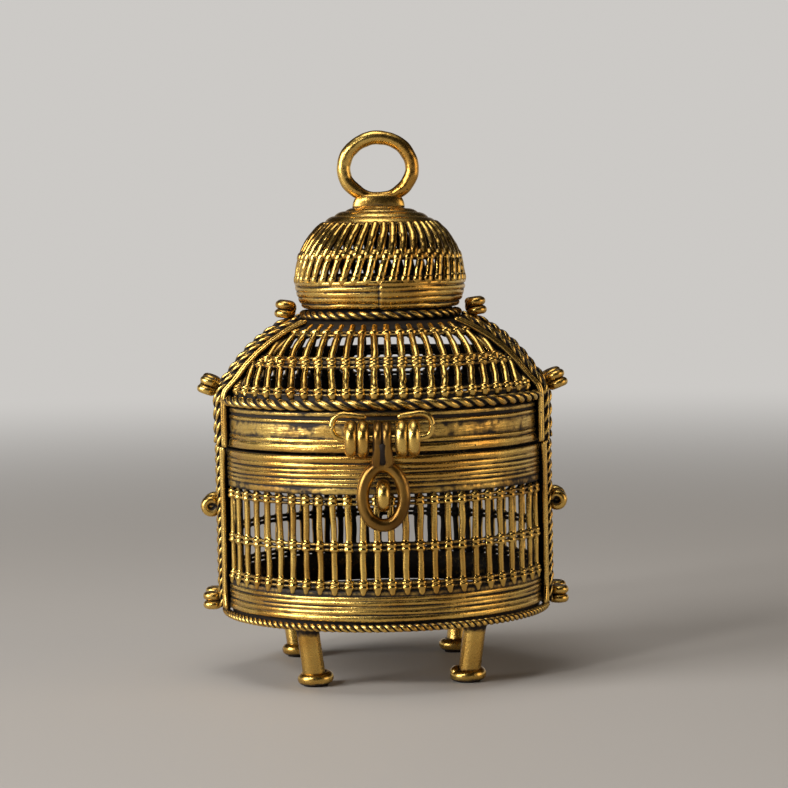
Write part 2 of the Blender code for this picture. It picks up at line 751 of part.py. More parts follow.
def hasp_half():
    """Half of the hasp's wire, from the bottom of its eye to the middle of its tail."""
    eye_y = LATCH_Y + HASP_EYE_INSET
    eye_z = LATCH_Z - HASP_EYE_DROP
    half = []
    for index in range(HASP_EYE_POINTS):
        lift = HASP_EYE_STEP * index - math.pi / 2
        side = HASP_EYE_HALF_WIDTH * math.cos(lift)
        half.append((side, eye_y, eye_z + HASP_EYE_HALF_HEIGHT * math.sin(lift)))
    neck_z = eye_z + HASP_EYE_HALF_HEIGHT + HASP_WIRE
    strand = HASP_STRAND_OFFSET
    half.append((strand, eye_y - HASP_EYE_INSET, neck_z))
    for index in range(LOOP_STEPS + 1):
        turn = math.pi * index / LOOP_STEPS
        half.append((
            strand,
            LATCH_Y - HASP_LOOP_RADIUS * math.cos(turn),
            LATCH_Z + HASP_LOOP_RADIUS * math.sin(turn),
        ))
    half.append((strand, LATCH_Y + HASP_LOOP_RADIUS, LATCH_Z - HASP_TAIL_DROP + strand))
    half.append((strand / 2, LATCH_Y + HASP_LOOP_RADIUS, LATCH_Z - HASP_TAIL_DROP))
    return half


def build_hasp():
    """A ring of wire: an eye below, two strands over the pin, and a tail that joins them behind."""
    half = hasp_half()
    other = [(-x, y, z) for x, y, z in half[:0:-1]]
    points = half + other
    swell = []
    for index in range(len(points)):
        in_eye = index < HASP_EYE_POINTS or index > len(points) - HASP_EYE_POINTS
        swell.append(HASP_EYE_WIRE / HASP_WIRE if in_eye else 1)
    return tube("hasp", points, HASP_WIRE, closed=True, swell=swell, colour=BROWN_BRONZE)


def build_staple():
    """A loop of wire that stands out of the box wall through the hasp's eye."""
    middle = LATCH_Z - HASP_EYE_DROP
    foot = -(THREADED_RADIUS + FIT_GAP)
    shaft = foot - STAPLE_REACH + STAPLE_HALF_HEIGHT
    points = [Vector((0, foot, middle + STAPLE_HALF_HEIGHT))]
    for index in range(LOOP_STEPS + 1):
        turn = math.pi * index / LOOP_STEPS
        reach = shaft - STAPLE_HALF_HEIGHT * math.sin(turn)
        points.append(Vector((0, reach, middle + STAPLE_HALF_HEIGHT * math.cos(turn))))
    points.append(Vector((0, foot, middle - STAPLE_HALF_HEIGHT)))
    return tube("hasp_staple", points, STAPLE_WIRE)


# Hinge at the back.


def hinge_coil(name, x, hand, tail_rise):
    """A two-turn coil round the pin. Its tail lies up or down the wall, at the +X end for hand 1."""
    total = HINGE_TURNS * HINGE_POINTS_PER_TURN
    points = []
    for index in range(total + 1):
        turns = index / HINGE_POINTS_PER_TURN
        ring = around(LUG_RADIUS, TURN * turns, 0)
        along = hand * HINGE_PITCH * (turns - HINGE_TURNS / 2)
        height = ring.y if tail_rise > 0 else -ring.y
        points.append(Vector((x + along, HINGE_Y - ring.x, HINGE_Z + height)))
    end = points[-1]
    seat = math.sqrt((HINGE_Y - LUG_RADIUS)**2 - end.x**2)
    points.append(Vector((end.x, seat, end.z + tail_rise)))
    return tube(name, points, LUG_WIRE)


def build_hinge():
    """Three wire coils in line: the outer two on the box, the middle one on the lid."""
    width = HINGE_TURNS * HINGE_PITCH + 2 * LUG_WIRE
    apart = width + HINGE_SIDE_GAP
    lid_coil = hinge_coil("hinge_coil_lid", 0, 1, HINGE_TAIL)
    hinge_coil("hinge_coil_box_left", -apart, 1, -HINGE_TAIL)
    hinge_coil("hinge_coil_box_right", apart, -1, -HINGE_TAIL)
    reach = apart + width / 2 + HINGE_SIDE_GAP + HINGE_PIN_WIRE
    bend = 2 * HINGE_PIN_WIRE
    half = [(reach, HINGE_Z - HINGE_PIN_END - bend), (reach, HINGE_Z - bend), (reach - bend, HINGE_Z)]
    path = [Vector((-x, HINGE_Y, z)) for x, z in half]
    path += [Vector((x, HINGE_Y, z)) for x, z in half[::-1]]
    tube("hinge_pin", path, HINGE_PIN_WIRE)
    return lid_coil


def build_straps():
    lid_straps = []
    for side_name, side in (("left", math.pi), ("right", 0)):
        build_strap(f"body_strap_{side_name}", side, body_strap_path(), BODY_STRAP_HALF_WIDTH)
        name = f"lid_strap_{side_name}"
        lid_straps.append(build_strap(name, side, lid_strap_path(), LID_STRAP_HALF_WIDTH))
    return lid_straps


def build_box():
    build_legs()
    build_base()
    build_box_wall()
    build_staple()


def build_lid():
    pieces = [build_lid_rim(), *build_eave_ropes(), *build_slope(), *build_shoulder()]
    pieces += [*build_dome(), build_finial(), *build_straps(), *build_coils()]
    pieces += [*build_lugs(), build_latch_pin(), build_hinge()]
    pivot = add_pivot("lid_pivot", (0, HINGE_Y, HINGE_Z))
    carry(pivot, *pieces)


build_box()
build_lid()
carry(add_pivot("hasp_pivot", (0, LATCH_Y, LATCH_Z)), build_hasp())
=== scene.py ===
"""Looks of a dhokra jewelry box of lost-wax cast brass, section by section as it is built up in wax."""

import math

import bpy
import numpy as np
from mathutils import Matrix, Vector


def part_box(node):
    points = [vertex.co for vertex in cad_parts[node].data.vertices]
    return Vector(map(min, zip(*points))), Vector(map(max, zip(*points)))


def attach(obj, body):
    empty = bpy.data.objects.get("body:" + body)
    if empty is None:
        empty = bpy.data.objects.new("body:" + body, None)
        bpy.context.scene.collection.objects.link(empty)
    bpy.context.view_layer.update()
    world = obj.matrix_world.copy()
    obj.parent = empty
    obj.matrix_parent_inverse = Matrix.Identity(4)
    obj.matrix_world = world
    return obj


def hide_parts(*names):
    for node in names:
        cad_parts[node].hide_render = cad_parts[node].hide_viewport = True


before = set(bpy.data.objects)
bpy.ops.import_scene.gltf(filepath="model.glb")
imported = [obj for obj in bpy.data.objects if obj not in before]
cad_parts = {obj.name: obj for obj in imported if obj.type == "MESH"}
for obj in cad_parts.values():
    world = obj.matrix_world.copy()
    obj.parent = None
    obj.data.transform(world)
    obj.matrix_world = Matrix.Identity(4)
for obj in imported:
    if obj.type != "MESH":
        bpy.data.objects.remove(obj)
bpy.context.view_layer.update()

# The room: a plain pale floor and a soft grey studio. The camera stands about 650 mm in front
# of the box, level with its neck, and looks a little down at it.
CAMERA_AWAY = 0.650
CAMERA_HEIGHT = 0.1103
CAMERA_ASIDE = 0.0029
CAMERA_DOWN = math.radians(3.73)
CAMERA_ROLL = math.radians(-1.1)
FOCAL_LENGTH = 121.0
FLOOR_HALF = 3.0
FLOOR_ROUGHNESS = 0.6
FADE_FROM = 0.22
FADE_TO = 1.1
PALE_FLOOR = "#C0BAB3"
STUDIO_PALE = "#EFECE8"
STUDIO_DIM = "#252220"
STUDIO_STRENGTH = 0.70
BEHIND_CAMERA_share = 0.04


def linear(hex_colour):
    """Linear red, green and blue of an sRGB hex colour."""
    levels = [int(hex_colour[at:at + 2], 16) / 255 for at in (1, 3, 5)]
    return [level / 12.92 if level <= 0.04045 else ((level + 0.055) / 1.055) ** 2.4 for level in levels]


def add_node(tree, kind, inputs=None, **settings):
    """Adds a shader node, sets it up, and fills or links its inputs."""
    made = tree.nodes.new(kind)
    for name, value in settings.items():
        setattr(made, name, value)
    for socket, value in (inputs or {}).items():
        if isinstance(value, bpy.types.NodeSocket):
            tree.links.new(value, made.inputs[socket])
        else:
            made.inputs[socket].default_value = value
    return made


def compute(tree, operation, *values):
    """The result of a math node."""
    return add_node(tree, "ShaderNodeMath", dict(enumerate(values)), operation=operation).outputs[0]


def rescale(tree, value, start, end, low=0.0, high=1.0, smooth=False):
    """A value taken from one range to another, and held inside it."""
    limits = {"Value": value, "From Min": start, "From Max": end, "To Min": low, "To Max": high}
    blend = "SMOOTHSTEP" if smooth else "LINEAR"
    return add_node(tree, "ShaderNodeMapRange", limits, interpolation_type=blend).outputs["Result"]


scene = bpy.context.scene
scene.view_settings.view_transform = "Standard"
camera_data = bpy.data.cameras.new("camera")
camera_data.lens = FOCAL_LENGTH
camera_data.clip_start = 0.01
camera_data.clip_end = 20
camera = bpy.data.objects.new("camera", camera_data)
camera.matrix_world = (
    Matrix.Translation((CAMERA_ASIDE, -CAMERA_AWAY, CAMERA_HEIGHT))
    @ Matrix.Rotation(math.pi / 2 - CAMERA_DOWN, 4, "X")
    @ Matrix.Rotation(CAMERA_ROLL, 4, "Z")
)
scene.collection.objects.link(camera)
scene.camera = camera

floor_mesh = bpy.data.meshes.new("floor")
corners = [(x * FLOOR_HALF, y * FLOOR_HALF, 0) for x, y in ((-1, -1), (1, -1), (1, 1), (-1, 1))]
floor_mesh.from_pydata(corners, [], [(0, 1, 2, 3)])
floor = bpy.data.objects.new("floor", floor_mesh)
scene.collection.objects.link(floor)
painted = bpy.data.materials.new("pale_floor")
painted.use_nodes = True
paint = painted.node_tree
paint.nodes.clear()
near = add_node(paint, "ShaderNodeBsdfPrincipled", {
    "Base Color": (*linear(PALE_FLOOR), 1), "Roughness": FLOOR_ROUGHNESS})
far = add_node(paint, "ShaderNodeEmission", {
    "Color": (*linear(STUDIO_PALE), 1), "Strength": STUDIO_STRENGTH})
spot = add_node(paint, "ShaderNodeVectorMath", {
    0: add_node(paint, "ShaderNodeTexCoord").outputs["Object"]}, operation="LENGTH")
away = rescale(paint, spot.outputs["Value"], FADE_FROM, FADE_TO, smooth=True)
ray = add_node(paint, "ShaderNodeLightPath")
seen = compute(paint, "MAXIMUM", ray.outputs["Is Camera Ray"], ray.outputs["Is Glossy Ray"])
seen = compute(paint, "MAXIMUM", seen, ray.outputs["Is Transmission Ray"])
fade = compute(paint, "MULTIPLY", away, seen)
blend = add_node(paint, "ShaderNodeMixShader", {
    0: fade, 1: near.outputs["BSDF"], 2: far.outputs["Emission"]})
add_node(paint, "ShaderNodeOutputMaterial", {"Surface": blend.outputs["Shader"]})
floor_mesh.materials.append(painted)

world = bpy.data.worlds.new("studio")
scene.world = world
world.use_nodes = True
sky = world.node_tree
sky.nodes.clear()
around_us = add_node(sky, "ShaderNodeTexCoord").outputs["Generated"]
direction = add_node(sky, "ShaderNodeSeparateXYZ", {"Vector": around_us})
lift = add_node(sky, "ShaderNodeValToRGB", {"Fac": direction.outputs["Z"]})
stops = (
    (0.0, STUDIO_PALE), (0.10, STUDIO_PALE), (0.32, STUDIO_DIM), (0.80, STUDIO_DIM), (1.0, STUDIO_PALE),
)
while len(lift.color_ramp.elements) < len(stops):
    lift.color_ramp.elements.new(0.5)
for element, (position, colour) in zip(lift.color_ramp.elements, stops):
    element.position = position
    element.color = (*linear(colour), 1)
toward_back = rescale(
    sky, direction.outputs["Y"], -1.0, 0.2, BEHIND_CAMERA_share * STUDIO_STRENGTH, STUDIO_STRENGTH, smooth=True)
glow = add_node(sky, "ShaderNodeBackground", {"Color": lift.outputs["Color"], "Strength": toward_back})
add_node(sky, "ShaderNodeOutputWorld", {"Surface": glow.outputs["Background"]})


def add_lamp(name, place, size, power, colour="#FFFFFF", aim=(0, 0, 0.06)):
    """A square softbox that faces the box."""
    data = bpy.data.lights.new(name, "AREA")
    data.size = size
    data.energy = power
    data.color = linear(colour)
    lamp = bpy.data.objects.new(name, data)
    lamp.location = place
    lamp.rotation_euler = (Vector(aim) - Vector(place)).to_track_quat("-Z", "Y").to_euler()
    scene.collection.objects.link(lamp)


add_lamp("left_softbox", (-1.10, -0.50, 0.46), 0.70, 15.0)
add_lamp("key_lamp", (-0.45, -0.60, 0.50), 0.10, 1.6)
add_lamp("right_softbox", (0.80, -0.25, 0.25), 0.45, 1.2, "#FFE3BC")
add_lamp("top_softbox", (-0.10, -0.10, 0.90), 0.45, 2.0)

# Four legs of cast brass under the floor: each is a thick tube that leans in toward its foot,
# with a wax thread wound once round the foot and a thin collar under the floor.
LEG_TUBE = 0.0027
LEG_COLLAR = 0.0034
LEG_LEAN = 0.0028
FOOT_TUBE = 0.00145
FOOT_REACH = 0.0029
FOOT_TURNS = 1.06
FOOT_RISE = 0.0009


def unit(vectors):
    return vectors / np.maximum(np.linalg.norm(vectors, axis=-1, keepdims=True), 1e-12)


def wobble(place, seed):
    """Unevenness of hand-laid wax, smooth, between about -1 and 1, and the same each run."""
    slow = np.sin(3 * place + 1.7 * seed) + 0.6 * np.sin(7 * place + 4.1 * seed)
    return (slow + 0.4 * np.sin(13 * place + 2.3 * seed)) / 2


def start_casting():
    """An empty casting: pieces of wax are laid on it and become one mesh."""
    return {"points": [], "patina_and_shade": [], "faces": [], "caps": [], "count": 0}


def add_grid(casting, points, patina_and_shade, round_rows=False, round_columns=False):
    """Adds rows of points as quads. Each point's darkening is 1 where patina stays and shade is painted in, and
    0 on a crest that gets rubbed.
    """
    rows, columns = points.shape[:2]
    index = np.arange(rows * columns).reshape(rows, columns) + casting["count"]
    if round_rows:
        index = np.vstack([index, index[:1]])
    if round_columns:
        index = np.hstack([index, index[:, :1]])
    quads = np.stack([index[:-1, :-1], index[:-1, 1:], index[1:, 1:], index[1:, :-1]], axis=-1)
    casting["points"].append(points.reshape(-1, 3))
    casting["patina_and_shade"].append(np.broadcast_to(patina_and_shade, (rows, columns)).reshape(-1))
    casting["faces"].append(quads.reshape(-1, 4))
    casting["count"] += rows * columns
    return index


def add_tube(casting, rings, patina_and_shade, closed=False):
    """Adds rings of points as a tube, with both ends filled unless it closes on itself."""
    index = add_grid(casting, rings, patina_and_shade, round_rows=closed, round_columns=True)
    if not closed:
        casting["caps"].append(index[0, :0:-1].tolist())
        casting["caps"].append(index[-1, :-1].tolist())


def directions(path, out, closed):
    """Unit vectors along a path, out of the surface it lies on, and across it."""
    if closed:
        along = unit(np.roll(path, -1, 0) - np.roll(path, 1, 0))
    else:
        along = unit(np.gradient(path, axis=0))
    out = np.broadcast_to(np.asarray(out, float), path.shape)
    out = unit(out - along * np.sum(along * out, axis=1, keepdims=True))
    return along, out, np.cross(along, out)


def with_ends(values):
    """Values along a thread, and the first and the last twice more for its two drawn-in ends."""
    return np.concatenate([values[:1], values[:1], values, values[-1:], values[-1:]])


def around(radius, angle, height):
    """Points at a radius and an angle round the box's axis."""
    return np.stack([radius * np.cos(angle), radius * np.sin(angle), height + 0 * angle], axis=-1)


def revolve(profile, outward):
    """Rings of points round an axis, one for each (radius, height) of a profile."""
    rings = np.array(profile)[:, :, None, None]
    return outward[None] * rings[:, 0] + np.array([0, 0, 1.0]) * rings[:, 1]


def thread_rings(path, out, radius, closed=False, sides=12, depth=1.0):
    """Rings of points round a thread of wax, drawn in at its ends, and how far each faces outward.
    Depth is the thread's thickness as a share of its width."""
    path = np.asarray(path, float)
    along, out, across = directions(path, out, closed)
    radius = np.array(np.broadcast_to(radius, len(path)), float)
    if not closed:
        lifts = np.array([0.75, 1.35])
        head = path[0] - along[0] * radius[0] * np.sin(lifts[::-1])[:, None]
        tail = path[-1] + along[-1] * radius[-1] * np.sin(lifts)[:, None]
        path = np.concatenate([head, path, tail])
        radius = np.concatenate([radius[0] * np.cos(lifts[::-1]), radius, radius[-1] * np.cos(lifts)])
        out, across = with_ends(out), with_ends(across)
    turn = np.arange(sides) * 2 * math.pi / sides
    facing = np.cos(turn)
    spread = depth * facing[:, None] * out[:, None, :] + np.sin(turn)[:, None] * across[:, None, :]
    return path[:, None, :] + radius[:, None, None] * spread, facing


def lay_thread(casting, path, out, radius, closed=False, sides=12):
    """One round thread of wax. Its outer side gets rubbed bright, and its inner side is darkened with patina and
    painted shade.
    """
    rings, facing = thread_rings(path, out, radius, closed, sides)
    add_tube(casting, rings, np.clip(0.10 - facing, 0, 1), closed)


def cast_piece(casting, name, material, body, slot, *nodes):
    """Makes a casting one piece, which stands for its nodes and rides on their body."""
    mesh = bpy.data.meshes.new(name)
    faces = np.concatenate(casting["faces"]).tolist() + casting["caps"]
    mesh.from_pydata(np.concatenate(casting["points"]).tolist(), [], faces)
    # Each point keeps its patina and painted shade for the material.
    depth = mesh.attributes.new("patina_and_shade", "FLOAT", "POINT")
    depth.data.foreach_set("value", np.concatenate(casting["patina_and_shade"]))
    mesh.shade_smooth()
    mesh.materials.append(material)
    piece = bpy.data.objects.new(name, mesh)
    scene.collection.objects.link(piece)
    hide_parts(*nodes)
    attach(piece, body)
    return piece


CLOUD_SIZE = 0.014
BLOTCH_SIZE = 0.009
GRIME_SIZE = 0.0017
PIT_SPACING = 0.0019
GRAIN_SIZE = 0.0006
GRAIN_DEPTH = 0.00012
TIGHT_CORNER = 0.0015
PATINA_ROUGHNESS = 0.62


def noise(tree, place, size, detail, roughness=0.5, distortion=0.0):
    """Smooth noise with patches of about a size."""
    return add_node(tree, "ShaderNodeTexNoise", {
        "Vector": place, "Scale": 1 / size, "Detail": detail, "Roughness": roughness,
        "Distortion": distortion}).outputs["Fac"]


def cast_brass(name, polish, warm, patina, cover, rough):
    """Lost-wax brass. Rubbing leaves its crests bright, and brown-black patina stays in the hollows,
    so the colour follows depth; shade is also painted into the hollows, inner sides and tight corners. The clay
    mould leaves fine grain and pits."""
    material = bpy.data.materials.new(name)
    material.use_nodes = True
    tree = material.node_tree
    tree.nodes.clear()
    place = add_node(tree, "ShaderNodeTexCoord").outputs["Object"]
    cloud = noise(tree, place, CLOUD_SIZE, 3.0)
    blotch = noise(tree, place, BLOTCH_SIZE, 4.0, distortion=0.8)
    grime = noise(tree, place, GRIME_SIZE, 5.0, roughness=0.65)
    grain = noise(tree, place, GRAIN_SIZE, 4.0)
    spots = add_node(tree, "ShaderNodeTexVoronoi", {"Vector": place, "Scale": 1 / PIT_SPACING})
    patina_and_shade = add_node(tree, "ShaderNodeAttribute", attribute_name="patina_and_shade").outputs["Fac"]
    # Ambient occlusion darkens tight corners: painted shade.
    corners = add_node(tree, "ShaderNodeAmbientOcclusion", {"Distance": TIGHT_CORNER}, samples=6)

    # Depth, tight corners, grime and larger blotches add up to how much patina is left; depth and tight corners
    # also paint shade into the colour.
    corner_shade = compute(tree, "SUBTRACT", 1.0, corners.outputs["AO"])
    patina_and_shade_amount = compute(tree, "MULTIPLY_ADD", patina_and_shade, 0.75, cover)
    patina_and_shade_amount = compute(tree, "MULTIPLY_ADD", corner_shade, 0.85, patina_and_shade_amount)
    patina_and_shade_amount = compute(tree, "MULTIPLY_ADD", grime, 0.7, patina_and_shade_amount)
    patina_and_shade_amount = compute(tree, "ADD", patina_and_shade_amount, rescale(tree, blotch, 0.46, 0.68, high=0.16, smooth=True))
    stained_and_shaded = rescale(tree, patina_and_shade_amount, 0.55, 0.88, smooth=True)

    # Pits from the mould show only where there is grime, and are dark and sunk.
    pit = rescale(tree, spots.outputs["Distance"], 0.05, 0.16, low=1.0, high=0.0)
    pit = compute(tree, "MULTIPLY", pit, rescale(tree, grime, 0.5, 0.62))
    dark = compute(tree, "MAXIMUM", stained_and_shaded, pit)
    relief = compute(tree, "MULTIPLY_ADD", pit, -0.8, grain)
    bump = add_node(tree, "ShaderNodeBump", {"Height": relief, "Strength": 0.35, "Distance": GRAIN_DEPTH})

    metal = add_node(tree, "ShaderNodeMix", {
        0: rescale(tree, cloud, 0.40, 0.66), 6: (*linear(polish), 1), 7: (*linear(warm), 1)}, data_type="RGBA")
    colour = add_node(tree, "ShaderNodeMix", {
        0: dark, 6: metal.outputs[2], 7: (*linear(patina), 1)}, data_type="RGBA")
    gloss = compute(tree, "MULTIPLY_ADD", grain, 0.12, rescale(tree, dark, 0, 1, rough, PATINA_ROUGHNESS))
    bare = rescale(tree, dark, 0, 1, low=1.0, high=0.35)
    shader = add_node(tree, "ShaderNodeBsdfPrincipled", {
        "Base Color": colour.outputs[2], "Metallic": bare, "Roughness": gloss, "Normal": bump.outputs["Normal"]})
    add_node(tree, "ShaderNodeOutputMaterial", {"Surface": shader.outputs["BSDF"]})
    return material


polished_brass = cast_brass("polished_cast_brass", "#E2BC66", "#BE8F42", "#231910", -0.05, 0.21)
legs = ("leg_back_right", "leg_back_left", "leg_front_left", "leg_front_right")


def cast_polished(casting, name, body, node):
    """Makes a casting of polished brass one piece, which stands for one node."""
    cast_piece(casting, name, polished_brass, body, "polished_brass", node)


def ring_path(radius, height, steps=96, first=0.0, last=2 * math.pi):
    """A circle round the box's axis, or an arc of it, and the outward direction along it."""
    whole = abs(last - first - 2 * math.pi) < 1e-9
    angle = np.linspace(first, last, steps, endpoint=not whole)
    out = around(1.0, angle, 0.0)
    return out * radius + np.array([0, 0, height]), out


for number, leg in enumerate(legs):
    low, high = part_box(leg)
    middle = (low + high) / 2
    inward = -unit(np.array([middle.x, middle.y, 0.0]))
    foot = np.array([middle.x, middle.y, 0.0]) + inward * LEG_LEAN / 2
    head = foot - inward * LEG_LEAN + np.array([0, 0, high.z])
    casting = start_casting()
    share = np.linspace(0.12, 1.0, 40)
    path = foot + share[:, None] * (head - foot)
    turn = np.arange(36) * 2 * math.pi / 36
    flare = np.exp(-((1 - share) / 0.05) ** 2) * (LEG_COLLAR - LEG_TUBE)
    radius = (LEG_TUBE + flare)[:, None] * (1 + 0.03 * wobble(turn, number)[None, :])
    # A band just below the collar, under the floor, is darkened: patina and painted shade.
    add_tube(casting, path[:, None, :] + radius[:, :, None] * around(1.0, turn, 0.0),
             np.clip(0.9 - 6 * np.abs(share - 0.93), 0, 0.8)[:, None])
    sweep = np.linspace(0, 2 * math.pi * FOOT_TURNS, 60) + number
    loop = around(1.0, sweep, 0.0)
    wound = foot + loop * FOOT_REACH + np.array([0, 0, FOOT_TUBE])
    wound[:, 2] += np.linspace(0, FOOT_RISE, 60)
    lay_thread(casting, wound, loop, FOOT_TUBE, sides=16)
    pad = ((FOOT_REACH, 0.0), (FOOT_REACH, 0.0022), (0.0012, 0.0026))
    add_tube(casting, foot + revolve(pad, ring_path(FOOT_REACH, 0.0)[1]), 0.3)
    cast_polished(casting, "turned_" + leg, "box", leg)

# The floor is a flat plate of wax, and the wall stands on it. Two threads twisted into a rope
# hide the joint between them all the way round.
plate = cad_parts["floor_plate"]
plain_brass = cast_brass("plain_cast_brass", "#B4924E", "#84602C", "#231910", 0.30, 0.36)
plate.data.materials.clear()
plate.data.materials.append(plain_brass)
ROPE_FILL = 0.56


def twist_rope(casting, path, out, rope, lay, closed=False, sides=10):
    """Two threads of wax twisted together. Lay is the length of one full turn of a thread."""
    along, out, across = directions(path, out, closed)
    steps = np.linalg.norm(np.diff(path, axis=0, append=path[:1] if closed else path[-1:]), axis=1)
    distance = np.concatenate([[0], np.cumsum(steps)])[:len(path)]
    length = steps.sum()
    turns = round(length / lay) if closed else length / lay
    for strand in (0, math.pi):
        phase = 2 * math.pi * turns * distance / length + strand
        phase = phase + (0 if closed else 0.25 * wobble(distance / lay / 3, 5))
        lean = np.cos(phase)[:, None] * out + np.sin(phase)[:, None] * across
        rings, _ = thread_rings(path + lean * rope * (1 - ROPE_FILL), lean, rope * ROPE_FILL, closed, sides)
        away = rings - (path if closed else with_ends(path))[:, None, :]
        proud = out if closed else with_ends(out)
        height = np.linalg.norm(away, axis=2) / rope
        outward = np.sum(away * proud[:, None, :], axis=2) / rope
        # The grooves between the strands and the rope's inner side are darkened: patina and painted shade.
        add_tube(casting, rings, np.clip((0.9 - height) / 0.22, 0, 1) + np.clip(-outward, 0, 1), closed)


low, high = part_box("base_rope")
BASE_ROPE = (high.z - low.z) / 2
casting = start_casting()
path, out = ring_path(high.x - BASE_ROPE, (low.z + high.z) / 2, steps=1080)
twist_rope(casting, path, out, BASE_ROPE, 0.0036, closed=True)
cast_polished(casting, "twisted_base_rope", "box", "base_rope")

# The lower and upper walls are one long wax thread each, wound round a clay core. The turns
# press together, and the hand leaves them a little uneven, with pits from the mould.
WALL_RADIUS = 0.0389
WALL_THICKNESS = 0.0017
THREAD_PROUD = 0.00055
BAND_COLUMNS = 420
BAND_STEP = 0.00013


def wind_band(casting, low, high, threads, wall=WALL_RADIUS, proud=THREAD_PROUD, dents=0.00006):
    """A round wall with threads on it, given as (height, half width, share of the full relief)."""
    rows = int((high - low) / BAND_STEP) + 1
    height = np.linspace(low, high, rows)[:, None]
    angle = np.linspace(0, 2 * math.pi, BAND_COLUMNS, endpoint=False)[None, :]
    relief = np.zeros((rows, BAND_COLUMNS))
    for number, (middle, half, share) in enumerate(threads):
        centre = middle + 0.00011 * wobble(angle, number + middle * 900)
        width = half * (1 + 0.06 * wobble(angle * 2, number))
        inside = np.clip(1 - ((height - centre) / width) ** 2, 0, None)
        relief = np.maximum(relief, share * np.sqrt(inside))
    hammered = wobble(angle * 3 + height * 900, 3) * wobble(angle * 5 - height * 1300, 8)
    radius = wall + proud * relief + dents * hammered
    inner = wall - WALL_THICKNESS
    rims = np.array([(inner, high), (inner, (low + high) / 2), (inner, low)])
    rims = np.broadcast_to(rims[:, None, :], (3, BAND_COLUMNS, 2))
    radii = np.concatenate([radius, rims[:, :, 0]])
    heights = np.concatenate([np.broadcast_to(height, relief.shape), rims[:, :, 1]])
    points = around(radii, np.broadcast_to(angle, radii.shape), heights)
    # Valleys between the threads and the inner side are darkened: patina and painted shade.
    patina_and_shade = np.concatenate([np.clip(0.95 - 1.15 * relief, 0, 1), np.full((3, BAND_COLUMNS), 0.75)])
    add_grid(casting, points, patina_and_shade, round_rows=True, round_columns=True)


def stack_threads(low, high, sizes):
    """Threads laid one on the other from the bottom up, as (share of the height, relief)."""
    whole = sum(size for size, _ in sizes)
    threads = []
    at = low
    for size, relief in sizes:
        half = (high - low) * size / whole / 2
        threads.append((at + half, half * 1.03, relief))
        at += 2 * half
    return threads


bands = {
    "lower_band": ((1.5, 1.0), (1.1, 0.8), (0.9, 0.65), (1.1, 0.9), (1.0, 0.7), (1.1, 0.35)),
    "upper_band": ((1.6, 0.45), (1.0, 0.7), (0.9, 0.6), (1.1, 0.85), (1.0, 0.7), (1.2, 0.8), (1.7, 1.0)),
}
for band, sizes in bands.items():
    low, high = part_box(band)
    casting = start_casting()
    wind_band(casting, low.z, high.z, stack_threads(low.z, high.z, sizes))
    cast_polished(casting, "wound_" + band, "box", band)

# The open wall: upright wires in a ring, with a pair of wax beads where each passes the three
# double rings that tie them together. The wires are cut and set by eye, so they lean a little.
grille_brass = cast_brass("openwork_cast_brass", "#DDB762", "#B2853C", "#19110A", -0.04, 0.15)
BODY_BARS = 26
BODY_PANEL_HALF = math.radians(62.5)
PANEL_SPREAD_share = 0.15
BAR_WIRE = 0.00078
BEAD = 0.00132
BEAD_HALF = 0.00056
BAR_DEPTH_share = 0.85
RING_WIRE = 0.00042
BAR_SETBACK = 0.0004
POKE = 0.0006
KICK = 0.0004
BEAD_PAIR = (-BEAD_HALF, BEAD_HALF)
FRONT_AND_BACK = (-math.pi / 2, math.pi / 2)


def wall_point(height, angle):
    """Points of the open wall's wires, just behind its outer side, and outward there."""
    out = around(1.0, angle, 0.0)
    return out * (WALL_RADIUS - BAR_SETBACK) + np.stack([0 * height, 0 * height, height], axis=-1), out


def bar_angles(bars, half):
    """Angles of a front and a back panel's bars. Their spacing opens out toward the sides."""
    place = np.linspace(-1, 1, bars)
    spread = half * (place + PANEL_SPREAD_share * place ** 3)
    return np.concatenate([middle + spread for middle in FRONT_AND_BACK])


def lay_bar(casting, surface, low, high, angles, beads, seed, sway=0.00022, wire=BAR_WIRE, bead=BEAD,
            kick=0.0, bead_half=BEAD_HALF, depth=BAR_DEPTH_share):
    """A wire laid up a surface from one height to another. Beads are (height, places), where a place
    is a distance along the wire from there. Kick is how far its lower end stands out."""
    share = np.linspace(0, 1, 84)
    height = low + (high - low) * share
    angle = angles[0] + (angles[1] - angles[0]) * share
    path, out = surface(height, angle)
    reach = np.hypot(path[:, 0], path[:, 1])
    weave = wobble(share * 1.3 + seed, seed) * np.sin(math.pi * share * 2)
    bend = sway * (weave + 0.5 * wobble(share, seed * 3))
    path, out = surface(height, angle + bend / reach)
    path = path + out * kick * np.exp(-(share / 0.05) ** 2)[:, None]
    distance = np.concatenate([[0], np.cumsum(np.linalg.norm(np.diff(path, axis=0), axis=1))])
    radius = wire * (1 + 0.10 * wobble(share * 2, seed * 5))
    for level, places in beads:
        middle = np.interp(level, height, distance)
        for side in places:
            inside = np.clip(1 - ((distance - middle - side) / (bead_half * 1.02)) ** 2, 0, None)
            size = bead * (1 + 0.05 * math.sin(seed * 7 + side * 9000))
            radius = np.maximum(radius, wire * 0.9 + (size - wire * 0.9) * inside ** 0.36)
    rings, facing = thread_rings(path, out, radius, sides=12, depth=depth)
    # The wire's inner side and the necks beside its beads are darkened: patina and painted shade.
    inner_side_darkening = np.clip(0.15 - facing[None, :], 0, 1)
    neck = np.clip((wire - with_ends(radius)) / (wire * 0.2), 0, 1)[:, None]
    add_tube(casting, rings, np.clip(inner_side_darkening + 0.5 * neck, 0, 1))


